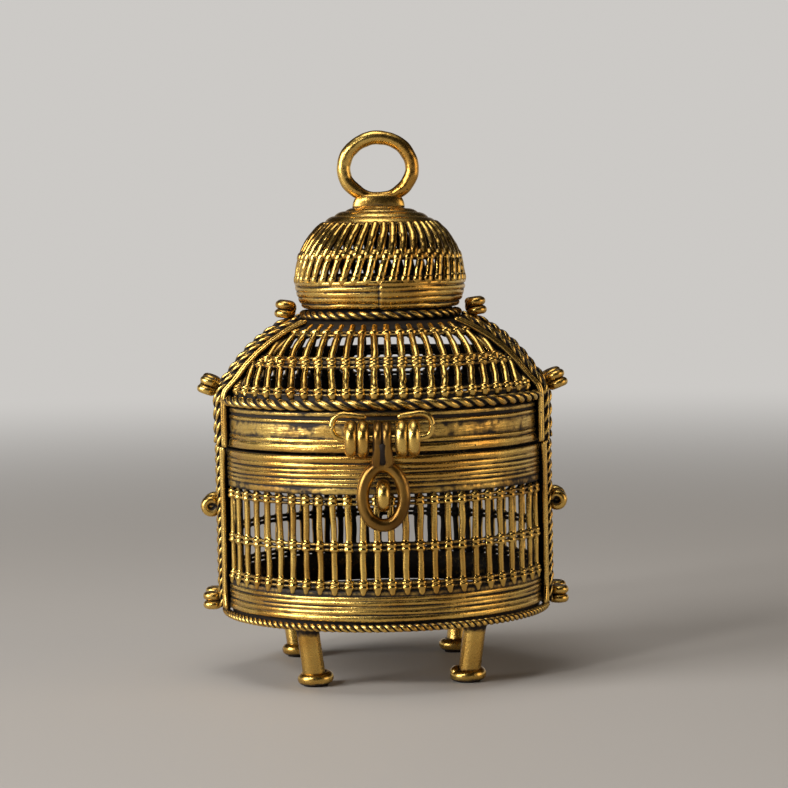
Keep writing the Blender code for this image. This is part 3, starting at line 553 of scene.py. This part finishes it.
def lay_double_ring(casting, surface, height, half, wire=RING_WIRE, steps=300):
    """Two thin threads, one above the other, that tie the bars together."""
    angle = np.linspace(0, 2 * math.pi, steps, endpoint=False)
    for side in (-half, half):
        path, out = surface(np.full(steps, height + side), angle)
        rings, facing = thread_rings(path, out, wire, closed=True, sides=8)
        # The rings are darkened all round, most on their inner side: patina and painted shade.
        add_tube(casting, rings, np.clip(0.75 - 0.4 * facing, 0, 1)[None, :], closed=True)


def lay_strip(casting, surface, levels, span, thickness):
    """A piece of plain wall between two angles, which backs a strap."""
    outer = np.linspace(span[0], span[1], 16)
    rows = []
    for level in levels:
        front, out = surface(np.full(16, level), outer)
        rows.append(np.concatenate([front, (front - out * thickness)[::-1]]))
    # Its back is darkened more than its front: painted shade inside the box, with patina.
    add_tube(casting, np.array(rows), np.repeat([0.25, 0.9], 16)[None, :])


low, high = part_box("body_grille")
RING_HALF = 0.0010
lower_ring, upper_ring = low.z + RING_HALF, high.z - RING_HALF - 0.0003
middle_ring = low.z + 0.0100
casting = start_casting()
for number, angle in enumerate(bar_angles(BODY_BARS, BODY_PANEL_HALF)):
    beads = [(level, BEAD_PAIR) for level in (lower_ring, middle_ring, upper_ring)]
    lay_bar(casting, wall_point, low.z - POKE, high.z, (angle, angle), beads, number, kick=KICK)
for level in (lower_ring, middle_ring, upper_ring):
    lay_double_ring(casting, wall_point, level, BEAD_HALF)
edge = BODY_PANEL_HALF * (1 + PANEL_SPREAD_share)
for middle in (0.0, math.pi):
    half = math.pi / 2 - edge + BAR_WIRE / WALL_RADIUS
    lay_strip(casting, wall_point, np.linspace(low.z, high.z, 6), (middle - half, middle + half), 0.0008)
cast_piece(casting, "openwork_wall", grille_brass, "box", "dark_brass", "body_grille")

# Straps down both sides stiffen the wall and the lid. Each is laid from wax side by side:
# a pair of thin threads, a rope, a smooth rib and the middle rope, then the same in reverse.
STRAP_SEAT = 0.0397
STRAP_BACK = 0.0005
ROPE_AT_share, RIB_AT_share = 0.74, 0.40
EDGE_AT_shares = (1.02, 0.90)
EDGE_WIRE = 0.00060
RIB_WIRE = 0.0010


def strap_line(side, offset, radius, height, out, steps):
    """A line up a strap at a distance beside its middle, and outward along it."""
    share = np.linspace(0, 1, steps)
    knots = np.linspace(0, 1, len(radius))
    radius = np.interp(share, knots, radius)
    height = np.interp(share, knots, height)
    lean = np.stack([np.interp(share, knots, out[:, 0]), np.interp(share, knots, out[:, 1])], axis=1)
    angle = side + offset / radius
    turned = around(lean[:, 0], angle, lean[:, 1])
    return around(radius, angle, height), unit(turned)


def lay_strap(casting, side, profile, half_width, rope, lay, rope_end=1.0, flare=0.0):
    """One strap. The profile is its (radius, height, outward x and z) from bottom to top."""
    radius, height, out = profile
    steps = 700
    count = int(steps * rope_end)
    columns = np.linspace(-1, 1, 15)
    lines = [strap_line(side, place * half_width, radius, height, out, 60) for place in columns]
    front = np.stack([line + outward * STRAP_BACK for line, outward in lines], axis=1)
    back = np.stack([line for line, _ in lines], axis=1)
    # The backing between the ropes and ribs is darkened: patina and painted shade.
    add_tube(casting, np.concatenate([front, back[:, ::-1]], axis=1), 0.60)
    for place in (-ROPE_AT_share, 0.0, ROPE_AT_share):
        line, outward = strap_line(side, place * half_width, radius, height, out, steps)
        twist_rope(casting, (line + outward * rope)[:count], outward[:count], rope, lay, sides=8)
    for place in (-RIB_AT_share, RIB_AT_share):
        line, outward = strap_line(side, place * half_width, radius, height, out, 90)
        lay_thread(casting, line + outward * RIB_WIRE * 0.35, outward, RIB_WIRE, sides=14)
    share = np.linspace(0, 1, 160)
    opening = flare * np.exp(-(share / 0.06) ** 2) + flare * np.exp(-((1 - share) / 0.06) ** 2)
    for place in EDGE_AT_shares:
        for hand in (-1, 1):
            line, outward = strap_line(side, hand * place * half_width, radius, height, out, 160)
            across = np.cross(np.array([0, 0, 1.0]), outward)
            outermost = 1 if place == max(EDGE_AT_shares) else 0
            drift = 0.00012 * wobble(share * 3, place * 9 + hand) + opening * outermost
            line = line + outward * EDGE_WIRE + across * (hand * drift)[:, None]
            lay_thread(casting, line, outward, EDGE_WIRE, sides=10)


BODY_STRAP_HALF = 0.0105
BODY_STRAP_ROPE = 0.00092
for name, side in (("body_strap_left", math.pi), ("body_strap_right", 0.0)):
    low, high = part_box(name)
    straight = (np.full(4, STRAP_SEAT), np.linspace(low.z, high.z, 4), np.array([(1.0, 0.0)] * 4))
    casting = start_casting()
    lay_strap(casting, side, straight, BODY_STRAP_HALF, BODY_STRAP_ROPE, 0.0050, flare=0.0010)
    cast_polished(casting, "laid_" + name, "box", name)

# Small coils of two turns sit on the ribs at four levels, near and far from the front. They are
# wound of one piece of wax wire round a pin and pressed on.
COIL_RADIUS = 0.00150
COIL_WIRE = 0.00105
COIL_INSET = 0.0003
COIL_LIFT = 0.0006
EAVE_COIL_TILT = math.radians(-22)
TOP_COIL_TILT = math.radians(-8)


def wound_ring(radius, pitch, open_share=0.07, steps=96):
    """Two flat turns round Z that cross over at one side. Both ends stop short of there."""
    turns = np.linspace(open_share, 2 - open_share, steps)
    lift = np.tanh((turns - 1) / 0.10) * pitch / 2
    angle = math.pi + 2 * math.pi * turns
    return around(radius, angle, lift)


def lay_coil(name, body, middle, matrix, number):
    casting = start_casting()
    flat = wound_ring(COIL_RADIUS * (1 + 0.04 * math.sin(number * 2.1)), COIL_WIRE * 2.05)
    turned = np.array(matrix.to_3x3())
    path = flat @ turned.T + np.array(middle)
    out = unit(flat * np.array([1.0, 1.0, 0.0])) @ turned.T
    lay_thread(casting, path, out, COIL_WIRE, sides=14)
    cast_polished(casting, "wound_" + name, body, name)


coil_tilts = {"bottom": 0.0, "mid": None, "eave": EAVE_COIL_TILT, "top": TOP_COIL_TILT}
strap_coils = sorted(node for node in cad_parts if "_coil_" in node and node[:5] != "hinge")
for number, name in enumerate(strap_coils):
    low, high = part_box(name)
    middle = (low + high) / 2
    angle = math.atan2(middle.y, middle.x)
    middle = middle - Vector((math.cos(angle), math.sin(angle), 0)) * COIL_INSET
    middle.z += COIL_LIFT if name[:4] in ("eave", "top_") else 0
    tilt = coil_tilts[name.split("_")[0]]
    lean = Matrix.Rotation(math.pi / 2, 4, "X") if tilt is None else Matrix.Rotation(tilt, 4, "Y")
    body = "lid" if name.split("_")[0] in ("eave", "top") else "box"
    lay_coil(name, body, middle, Matrix.Rotation(angle, 4, "Z") @ lean, number)

# The staple is a loop of thick wire set through the front wall. The hasp's eye drops over it.
STAPLE_STOUT_share = 1.15
low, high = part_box("hasp_staple")
STAPLE_WIRE = (high.x - low.x) / 2
staple_half = (high.z - low.z) / 2 - STAPLE_WIRE
staple_middle = (high.z + low.z) / 2
sweep = np.linspace(0, math.pi, 40)
curve = np.stack([0 * sweep, low.y + STAPLE_WIRE + staple_half * (1 - np.sin(sweep)),
                  staple_middle + staple_half * np.cos(sweep)], axis=1)
foot_in = np.array([(0, high.y, staple_middle + staple_half)])
path = np.concatenate([foot_in, curve, foot_in - np.array([(0, 0, 2 * staple_half)])])
outward = unit(path - np.array([0, high.y, staple_middle]) + np.array([0, -1e-6, 0]))
casting = start_casting()
lay_thread(casting, path, outward, STAPLE_WIRE * STAPLE_STOUT_share, sides=18)
aged_brass = cast_brass("aged_hand_worn_brass", "#A07A3C", "#6F4E24", "#231810", 0.08, 0.24)
cast_polished(casting, "bent_staple", "box", "hasp_staple")

# Two double rings on the rim of the lid carry the latch pin, a thin wire bent back over them
# at both ends so that it can't slide out.
LUG_RADIUS = 0.0029
LUG_WIRE = 0.0014
LUG_PITCH = LUG_WIRE * 1.94
LUG_STOUT_share = 1.06
PIN_STOUT_share = 1.12
low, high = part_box("latch_pin")
PIN_WIRE = (high.y - low.y) / 2
latch_y, latch_z = (low.y + high.y) / 2, low.z + PIN_WIRE
for name in ("latch_lug_left", "latch_lug_right"):
    low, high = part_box(name)
    flat = wound_ring(LUG_RADIUS, LUG_PITCH, open_share=0.10, steps=130)
    middle_x = (low.x + high.x) / 2
    path = np.stack([middle_x + flat[:, 2], latch_y - flat[:, 0], latch_z + flat[:, 1]], axis=1)
    out = unit(path * np.array([0, 1, 1]) - np.array([0, latch_y, latch_z]))
    casting = start_casting()
    lay_thread(casting, path, out, LUG_WIRE * LUG_STOUT_share, sides=20)
    cast_polished(casting, "wound_" + name, "lid", name)

low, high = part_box("latch_pin")
reach = high.x - PIN_WIRE
hook_top = high.z - PIN_WIRE
HOOK_BEND = 0.0030
HOOK_END = 0.0042
MIRROR = np.array([-1, 1, 1])


def rounded_corner(corner, start, end, bend, steps=10):
    """A quarter turn of wire between two straight stretches."""
    start, corner, end = (np.array(point, float) for point in (start, corner, end))
    first, last = corner + unit(start - corner) * bend, corner + unit(end - corner) * bend
    share = np.linspace(0, 1, steps)[:, None]
    return (1 - share) ** 2 * first + 2 * share * (1 - share) * corner + share ** 2 * last


outer_top, outer_low = (reach, latch_y, hook_top), (reach, latch_y, latch_z)
half = np.concatenate([
    [(HOOK_END, latch_y - 0.0004, hook_top - 0.0006)],
    rounded_corner(outer_top, (HOOK_END, latch_y, hook_top), outer_low, HOOK_BEND),
    rounded_corner(outer_low, outer_top, (0, latch_y, latch_z), HOOK_BEND),
])
path = np.concatenate([half * MIRROR, half[::-1]])
casting = start_casting()
lay_thread(casting, path, (0, -1, 0), PIN_WIRE * PIN_STOUT_share, sides=12)
cast_polished(casting, "bent_latch_pin", "lid", "latch_pin")

# The hasp is bent of thick wire: an oval eye below, and two strands that run up from it, over the
# pin and down behind. Wax fills the corner between the strands. Handling has worn it brown.
HASP_WIRE = 0.00112
EYE_WIRE = 0.00152
LOOP_RADIUS = 0.0028
STRAND_AT = 0.00104
EYE_HALF_WIDTH = 0.00475
EYE_HALF_HEIGHT = 0.0069
EYE_DROP = 0.0133
EYE_INSET = 0.0008
turn = np.linspace(0, 2 * math.pi, 96, endpoint=False)
eye = np.stack([EYE_HALF_WIDTH * np.cos(turn) * (1 - 0.06 * np.sin(turn)),
                np.full(96, latch_y + EYE_INSET),
                latch_z - EYE_DROP + EYE_HALF_HEIGHT * np.sin(turn)], axis=1)
eye_out = unit(np.stack([0.5 * np.cos(turn), -1 + 0 * turn, 0.5 * np.sin(turn)], axis=1))
casting = start_casting()
rings, facing = thread_rings(eye, eye_out, EYE_WIRE * (1 + 0.03 * wobble(turn, 4)), closed=True, sides=20)
# The eye's back side is darkened: patina and painted shade.
add_tube(casting, rings, np.clip(-0.2 - facing, 0, 1)[None, :], closed=True)


def smooth_loop(path, rounds=2, passes=3):
    """Adds points between those of a closed path and evens out its corners."""
    for _ in range(rounds):
        between = (path + np.roll(path, -1, 0)) / 2
        path = np.stack([path, between], axis=1).reshape(-1, 3)
        for _ in range(passes):
            path = (np.roll(path, 1, 0) + 2 * path + np.roll(path, -1, 0)) / 4
    return path


neck = np.array([
    (0.0017, latch_y + 0.0006, latch_z - 0.0067), (0.0015, latch_y - 0.0004, latch_z - 0.0055),
    (0.0012, latch_y - 0.0014, latch_z - 0.0040), (STRAND_AT, latch_y - 0.0024, latch_z - 0.0018),
])
turn = np.linspace(0, math.pi, 24)
loop = np.stack([np.full(24, STRAND_AT), latch_y - LOOP_RADIUS * np.cos(turn),
                 latch_z + LOOP_RADIUS * np.sin(turn)], axis=1)
tail = np.array([
    (STRAND_AT, latch_y + LOOP_RADIUS, latch_z - 0.0014),
    (STRAND_AT / 2, latch_y + LOOP_RADIUS, latch_z - 0.0026),
])
half = np.concatenate([neck, loop, tail])
path = smooth_loop(np.concatenate([half, (half * MIRROR)[::-1]]))
middle = np.array([0, latch_y, latch_z - 0.0010])
outward = unit((path - middle) * np.array([0.5, 1, 1]) + np.array([0, -1e-6, 0]))
rings, facing = thread_rings(path, outward, HASP_WIRE, closed=True, sides=18)
# The strands' back side is darkened: patina and painted shade.
add_tube(casting, rings, np.clip(-0.2 - facing, 0, 1)[None, :], closed=True)

# The wax between the strands: (distance below the pin, half width, half thickness).
WEB_SECTIONS = (
    (0.0010, 0.0004, 0.0003), (0.0014, 0.0011, 0.0008), (0.0040, 0.0014, 0.0009), (0.0056, 0.0016, 0.0008),
    (0.0062, 0.0009, 0.0003),
)
web_turn = np.arange(20) * math.pi / 10
web_rows = []
for drop, half_width, half_depth in WEB_SECTIONS:
    web_middle = latch_y - 0.0028 + 0.0024 * (drop - 0.0016) / 0.0044
    web_rows.append(np.stack([half_width * np.cos(web_turn), web_middle + half_depth * np.sin(web_turn),
                              latch_z - drop + 0 * web_turn], axis=1))
# The wax in the corner between the strands is darkened: patina and painted shade.
add_tube(casting, np.array(web_rows), 0.95)
cast_piece(casting, "looped_hasp", aged_brass, "hasp", "brown_bronze", "hasp")

# The hinge at the back: coils of the same thick wire, two on the box and one on the lid, with
# a thin wire through them whose ends are bent down.
HINGE_TURNS = 2
HINGE_BEND = 0.0009
low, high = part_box("hinge_pin")
HINGE_WIRE = (high.y - low.y) / 2
hinge_y = (low.y + high.y) / 2
hinge_z = high.z - HINGE_WIRE
hinge_reach = high.x - HINGE_WIRE
hinge_coils = (("hinge_coil_lid", 1, 1), ("hinge_coil_box_left", 1, -1), ("hinge_coil_box_right", -1, -1))
for name, hand, rise in hinge_coils:
    low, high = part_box(name)
    turns = np.linspace(0, HINGE_TURNS, 72)
    pitch = (high.x - low.x - 2 * LUG_WIRE) / HINGE_TURNS
    x = (low.x + high.x) / 2 + hand * pitch * (turns - HINGE_TURNS / 2)
    curl = np.stack([x, hinge_y - LUG_RADIUS * np.cos(2 * math.pi * turns),
                     hinge_z + rise * LUG_RADIUS * np.sin(2 * math.pi * turns)], axis=1)
    end_z = high.z if rise > 0 else low.z
    tail = np.linspace(curl[-1], (x[-1], math.sqrt((hinge_y - LUG_RADIUS) ** 2 - x[-1] ** 2), end_z), 12)[1:]
    path = np.concatenate([curl, tail])
    curl_out = unit(curl * np.array([0, 1, 1]) - np.array([0, hinge_y, hinge_z]))
    out = np.concatenate([curl_out, np.tile([0.0, 1.0, 0.0], (11, 1))])
    out[60:] = unit(out[60:] + np.linspace(0, 1, len(out) - 60)[:, None] * np.array([0, 2.2, 0]))
    casting = start_casting()
    lay_thread(casting, path, out, LUG_WIRE, sides=16)
    body = "lid" if rise > 0 else "box"
    cast_polished(casting, "wound_" + name, body, name)

low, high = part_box("hinge_pin")
hinge_corner = rounded_corner(
    (hinge_reach, hinge_y, hinge_z), (hinge_reach, hinge_y, low.z), (0, hinge_y, hinge_z), HINGE_BEND)
half = np.concatenate([[(hinge_reach, hinge_y, low.z)], hinge_corner])
path = np.concatenate([half * MIRROR, half[::-1]])
casting = start_casting()
lay_thread(casting, path, (0, 0, 1), HINGE_WIRE, sides=12)
cast_polished(casting, "bent_hinge_pin", "box", "hinge_pin")

# The rim of the lid: a plain strip of wax with two thin threads above and a thick one below,
# where it meets the box. It shows the most pits and scratches.
low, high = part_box("lid_rim")
rim_threads = [(low.z + 0.0011, 0.0011, 1.0), (low.z + 0.0028, 0.0006, 0.8), (low.z + 0.0050, 0.0019, 0.50),
               (low.z + 0.0073, 0.0005, 0.85), (high.z - 0.0006, 0.0006, 0.6)]
casting = start_casting()
wind_band(casting, low.z, high.z, rim_threads, dents=0.00012)
cast_polished(casting, "plain_lid_rim", "lid", "lid_rim")

# The eave, where the slope of the lid starts, is hidden by a thick rope in front and behind.
EAVE_ROPE = 0.0013
EAVE_ROPE_RADIUS = 0.0397
for name, middle in (("eave_rope_front", -math.pi / 2), ("eave_rope_back", math.pi / 2)):
    low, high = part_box(name)
    half = math.asin(min(1.0, high.x / EAVE_ROPE_RADIUS))
    casting = start_casting()
    path, out = ring_path(EAVE_ROPE_RADIUS, (low.z + high.z) / 2, 520, middle - half, middle + half)
    twist_rope(casting, path, out, EAVE_ROPE, 0.0072, sides=14)
    cast_polished(casting, "twisted_" + name, "lid", name)

# The slope of the lid is openwork like the wall: a lower row of wires from the eave, and an
# upper row to the neck. Each row has its own count, because the ring above is shorter.
low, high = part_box("lid_lower_grille")
SLOPE_START = np.array([high.x, low.z + 0.0036])
SLOPE_END = np.array([0.0207, low.z + 0.0036 + 0.0161])
SLOPE_BULGE = 0.0019
SLOPE_OUT = unit(np.array([SLOPE_END[1] - SLOPE_START[1], SLOPE_START[0] - SLOPE_END[0]]))


def slope_profile(share):
    """(radius, height) of the slope's outer side, from 0 at the eave to 1 at the shoulder."""
    share = np.asarray(share, float)[..., None]
    bulge = SLOPE_OUT * SLOPE_BULGE * 4 * share * (1 - share)
    return SLOPE_START + (SLOPE_END - SLOPE_START) * share + bulge


def slope_point(share, angle):
    """Points of the slope's wires, just below its outer side, and outward there."""
    profile = slope_profile(share) - SLOPE_OUT * BAR_SETBACK
    out = around(SLOPE_OUT[0], angle, SLOPE_OUT[1])
    return around(profile[..., 0], angle, profile[..., 1]), out


SLOPE_LENGTH = float(np.linalg.norm(SLOPE_END - SLOPE_START))
SLOPE_SPREAD = 1.17
STRIP_THICKNESS = 0.0008
LOWER_BEADS = ((0.030, BEAD_PAIR), (0.345, BEAD_PAIR))
UPPER_BEADS = ((0.410, (0.0,)), (0.800, (0.0,)))
rows_of_slope = (
    ("lid_lower_grille", 24, math.radians(57.0), (-0.01, 0.375), LOWER_BEADS, 0.00080),
    ("lid_upper_grille", 18, math.radians(50.0), (0.385, 0.93), UPPER_BEADS, 0.00082),
)
for name, bars, half, (start, end), beads, wire in rows_of_slope:
    casting = start_casting()
    for number, angle in enumerate(bar_angles(bars, half)):
        middle = FRONT_AND_BACK[number // bars]
        ends = (angle, middle + (angle - middle) * SLOPE_SPREAD)
        lay_bar(casting, slope_point, start, end, ends, beads, number + 60, wire=wire, depth=1.0)
    for level, _ in beads:
        lay_double_ring(casting, slope_point, level, BEAD_HALF / SLOPE_LENGTH)
    for middle in (0.0, math.pi):
        edge = math.pi / 2 - half * (1 + PANEL_SPREAD_share)
        levels = np.linspace(max(start, 0), end, 8)
        lay_strip(casting, slope_point, levels, (middle - edge, middle + edge), STRIP_THICKNESS)
    if name == "lid_lower_grille":
        low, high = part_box(name)
        wall = ((high.x, low.z), (high.x, SLOPE_START[1]), (high.x - 0.0012, SLOPE_START[1]),
                (high.x - 0.0014, low.z))
        rows = revolve(wall, ring_path(high.x, low.z, 180)[1])
        # This wall under the eave rope is darkened: painted shade, with patina.
        add_grid(casting, rows, 0.9, round_rows=True, round_columns=True)
    cast_piece(casting, "openwork_" + name[4:], grille_brass, "lid", "dark_brass", name)

# The shoulder closes the slope under the dome, and a rope lies in the corner round the neck.
low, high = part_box("lid_shoulder")
casting = start_casting()
NECK_RADIUS = 0.0175
SHOULDER_THICKNESS = 0.0017
base_r, base_z = (float(value) for value in slope_profile(0.84))
shoulder = (
    (base_r, base_z), slope_profile(0.92), slope_profile(1.0), (NECK_RADIUS + 0.0004, SLOPE_END[1] + 0.0003),
    (NECK_RADIUS, high.z), (NECK_RADIUS - SHOULDER_THICKNESS, high.z),
    (NECK_RADIUS - SHOULDER_THICKNESS, SLOPE_END[1] - 0.0014), (base_r - 0.0011, base_z - 0.0010),
)
rows = revolve(shoulder, ring_path(1.0, 0.0, 200)[1])
# The shoulder under the dome is darkened all over: patina and painted shade.
add_grid(casting, rows, 0.85, round_rows=True, round_columns=True)
cast_piece(casting, "closed_shoulder", grille_brass, "lid", "polished_brass", "lid_shoulder")

low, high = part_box("neck_rope")
NECK_ROPE = (high.z - low.z) / 2
casting = start_casting()
path, out = ring_path(NECK_RADIUS + 0.0003 + NECK_ROPE, (low.z + high.z) / 2, 480)
twist_rope(casting, path, out, NECK_ROPE, 0.0060, closed=True, sides=14)
cast_polished(casting, "twisted_neck_rope", "lid", "neck_rope")

# The straps of the lid run up the rim, over the eave and up the slope to the neck.
LID_STRAP_HALF = 0.0134
LID_STRAP_ROPE = 0.00102
for name, side in (("lid_strap_left", math.pi), ("lid_strap_right", 0.0)):
    low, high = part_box(name)
    heights = (low.z + 0.0004, low.z + 0.0050, SLOPE_START[1] - 0.0020)
    upright = np.array([(STRAP_SEAT, height) for height in heights])
    corner = np.array([(STRAP_SEAT - 0.0003, SLOPE_START[1] - 0.0003)])
    sloped = slope_profile(np.linspace(0.10, 0.95, 6)) + SLOPE_OUT * 0.0003
    knots = np.concatenate([upright, corner, sloped])
    lean = np.array([(1.0, 0.0)] * 3 + [unit(np.array([1.0, 0.0]) + SLOPE_OUT)] + [SLOPE_OUT] * 6)
    steps = np.concatenate([[0], np.cumsum(np.linalg.norm(np.diff(knots, axis=0), axis=1))])
    even = np.linspace(0, steps[-1], 40)
    radius, height = np.interp(even, steps, knots[:, 0]), np.interp(even, steps, knots[:, 1])
    out = np.stack([np.interp(even, steps, lean[:, 0]), np.interp(even, steps, lean[:, 1])], axis=1)
    casting = start_casting()
    lay_strap(casting, side, (radius, height, unit(out)), LID_STRAP_HALF, LID_STRAP_ROPE, 0.0064)
    cast_polished(casting, "laid_" + name, "lid", name)

# The dome: a wound band at its foot with an upright joint in front, then two rows of slanted
# wires close together, and a cap of thread wound to the middle.
low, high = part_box("dome_band")
band_low, band_high = low.z, high.z
DOME_RADIUS = 0.0207
DOME_HEIGHT = 0.0193
DOME_UNDER_HEIGHT = 0.0115
DOME_FULLNESS = 2.2
DOME_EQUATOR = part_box("dome_cap")[1].z - DOME_HEIGHT
DOME_THICKNESS = 0.0014
DOME_BARS = 42


def dome_profile(height):
    """Radius of the dome's outer side at a height, and the outward direction there."""
    above = np.where(height > DOME_EQUATOR, DOME_HEIGHT, -DOME_UNDER_HEIGHT)
    rise = np.clip((height - DOME_EQUATOR) / above, 0, 1)
    share = (1 - rise ** DOME_FULLNESS) ** (1 / DOME_FULLNESS)
    across, up = share ** (DOME_FULLNESS - 1) / DOME_RADIUS, rise ** (DOME_FULLNESS - 1) / above
    return DOME_RADIUS * share, unit(np.stack([across, up], axis=-1))


def dome_point(height, angle, depth=0.0005):
    """Points at a depth below the dome's outer side, and outward there."""
    radius, out = dome_profile(height)
    radius, height = radius - out[..., 0] * depth, height - out[..., 1] * depth
    return around(radius, angle, height), around(out[..., 0], angle, out[..., 1])


# Its threads from the bottom up: (share of the band's height, half width, relief).
DOME_COLUMNS = 360
DOME_THREADS = (
    (0.07, 0.0006, 1.0), (0.28, 0.0008, 0.8), (0.50, 0.0008, 0.7), (0.71, 0.0007, 0.9), (0.91, 0.0007, 1.0),
)
casting = start_casting()
rows = int((band_high - band_low) / BAND_STEP)
height = np.linspace(band_low, band_high, rows)[:, None]
angle = np.linspace(0, 2 * math.pi, DOME_COLUMNS, endpoint=False)[None, :]
relief = np.zeros((rows, DOME_COLUMNS))
for number, (share, half, tall) in enumerate(DOME_THREADS):
    centre = band_low + (band_high - band_low) * share + 0.00018 * wobble(angle, number + 4)
    relief = np.maximum(relief, tall * np.sqrt(np.clip(1 - ((height - centre) / half) ** 2, 0, None)))
past_joint = angle - 1.5 * math.pi
joint = np.exp(-((past_joint + 0.010) / 0.010) ** 2)
step = (1 + np.tanh(past_joint / 0.006)) / 2 * np.exp(-(past_joint / 0.30) ** 2)
outer, outward = dome_point(np.broadcast_to(height, relief.shape), np.broadcast_to(angle, relief.shape), 0.0003)
proud = THREAD_PROUD * relief * (1 - 0.5 * step) - 0.0003 * joint + 0.0005 * step
inner_heights = np.repeat([[band_high], [(band_low + band_high) / 2], [band_low]], DOME_COLUMNS, axis=1)
inner, _ = dome_point(inner_heights, np.broadcast_to(angle, inner_heights.shape), DOME_THICKNESS)
# Valleys between the threads, the sunk joint and the inner side are darkened: patina and painted shade.
patina_and_shade = np.concatenate([np.clip(0.75 - 0.85 * relief + joint, 0, 1), np.full(inner_heights.shape, 0.75)])
points = np.concatenate([outer + outward * proud[..., None], inner])
add_grid(casting, points, patina_and_shade, round_rows=True, round_columns=True)
cast_polished(casting, "wound_dome_band", "lid", "dome_band")

DOME_LEAN = 0.62 * 2 * math.pi / DOME_BARS
DOME_WIRE = 0.00096
DOME_BEAD = 0.00118
DOME_BEAD_HALF = 0.00085


def behind_bars(height, angle):
    """Points behind the dome's bars, where the threads that hold them lie."""
    return dome_point(height, angle, 0.0010)


dome_rows = (("dome_lower_grille", 0.0004, 0.0002, True), ("dome_upper_grille", 0.0, 0.0006, False))
for name, overlap_low, overlap_high, beaded in dome_rows:
    low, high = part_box(name)
    casting = start_casting()
    start, end = low.z - overlap_low, high.z + overlap_high
    beads = [(level, (0.0,)) for level in (start + 0.0005, end - 0.0009)] if beaded else []
    for number in range(DOME_BARS):
        angle = -math.pi / 2 + 2 * math.pi * number / DOME_BARS
        lay_bar(casting, dome_point, start, end, (angle, angle + DOME_LEAN), beads, number + 130, sway=0.00012,
                wire=DOME_WIRE, bead=DOME_BEAD, bead_half=DOME_BEAD_HALF)
    for level in (start + 0.0007, end - 0.0009):
        lay_double_ring(casting, behind_bars, level, 0.00035, steps=160)
    cast_piece(casting, "slanted_" + name, grille_brass, "lid", "dark_brass", name)

low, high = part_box("dome_cap")
casting = start_casting()
start = math.asin((low.z + 0.0011 - DOME_EQUATOR) / DOME_HEIGHT)
lift = np.linspace(start, math.pi / 2, 90)[:, None]
angle = np.linspace(0, 2 * math.pi, 300, endpoint=False)[None, :]
WINDINGS = 5.0
CAP_PROUD = 0.00045
wound = (lift - start) / (math.pi / 2 - start) * WINDINGS + angle / (2 * math.pi)
relief = np.sqrt(np.clip(1 - (2 * (wound % 1.0) - 1) ** 2, 0, None)) * np.clip((math.pi / 2 - lift) * 6, 0, 1)
height = DOME_EQUATOR + DOME_HEIGHT * np.sin(lift) + 0 * angle
cap, outward = dome_point(height, angle + 0 * lift, 0.0004)
cap = cap + outward * (CAP_PROUD * relief)[..., None]
under_height = DOME_EQUATOR + DOME_HEIGHT * np.sin(lift[::-12]) + 0 * angle
under, _ = dome_point(under_height, np.broadcast_to(angle, under_height.shape), DOME_THICKNESS)
# Grooves of the winding and the underside are darkened: patina and painted shade.
patina_and_shade = np.concatenate([np.clip(0.8 - 1.0 * relief, 0, 1), np.full(under.shape[:2], 0.75)])
index = add_grid(casting, np.concatenate([cap, under]), patina_and_shade, round_columns=True)
casting["faces"].append(np.stack([index[-1, :-1], index[-1, 1:], index[0, 1:], index[0, :-1]], axis=1))
cast_polished(casting, "wound_dome_cap", "lid", "dome_cap")

# The lifting ring is bent of thick wire, and its flattened foot is bedded in wax on the cap.
low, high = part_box("finial_ring")
RING_THICK = (high.y - low.y) / 2
FOOT_THICK = 0.0013
BED_HALF_WIDTH = 0.0064
BED_HALF_DEPTH = 0.0024
BED_HEIGHT = 0.0034
BED_SUNK = 0.0011
ring_half = (high.x - low.x) / 2 - RING_THICK
ring_foot, ring_top = low.z + FOOT_THICK, high.z - RING_THICK
turn = np.linspace(0, 2 * math.pi, 160, endpoint=False)
swell = 1 + 0.015 * wobble(turn, 2)
ring_z = (ring_foot + ring_top) / 2
path = np.stack([ring_half * swell * np.cos(turn), 0 * turn,
                 ring_z + (ring_top - ring_z) * swell * np.sin(turn)], axis=1)
path[:, 2] = np.maximum(path[:, 2], ring_foot + 0.0001)
thick = RING_THICK * (1 + 0.03 * wobble(turn * 2, 6))
thick = thick + (FOOT_THICK - thick) * np.clip((ring_foot + 0.0016 - path[:, 2]) / 0.0012, 0, 1)
out = np.stack([np.cos(turn), 0 * turn, np.sin(turn)], axis=1)
casting = start_casting()
rings, facing = thread_rings(path, out, thick, closed=True, sides=24)
add_tube(casting, rings, 0.0, closed=True)
bed_lift = np.linspace(0, math.pi / 2 - 0.05, 12)[:, None]
bed_turn = np.linspace(0, 2 * math.pi, 48, endpoint=False)[None, :]
bed_wide = np.cos(bed_lift) ** 0.35
bed = np.stack([BED_HALF_WIDTH * bed_wide * np.cos(bed_turn), BED_HALF_DEPTH * bed_wide * np.sin(bed_turn),
                low.z - BED_SUNK + BED_HEIGHT * np.sin(bed_lift) + 0 * bed_turn], axis=2)
add_tube(casting, bed, 0.1)
cast_polished(casting, "bedded_ring", "lid", "finial_ring")
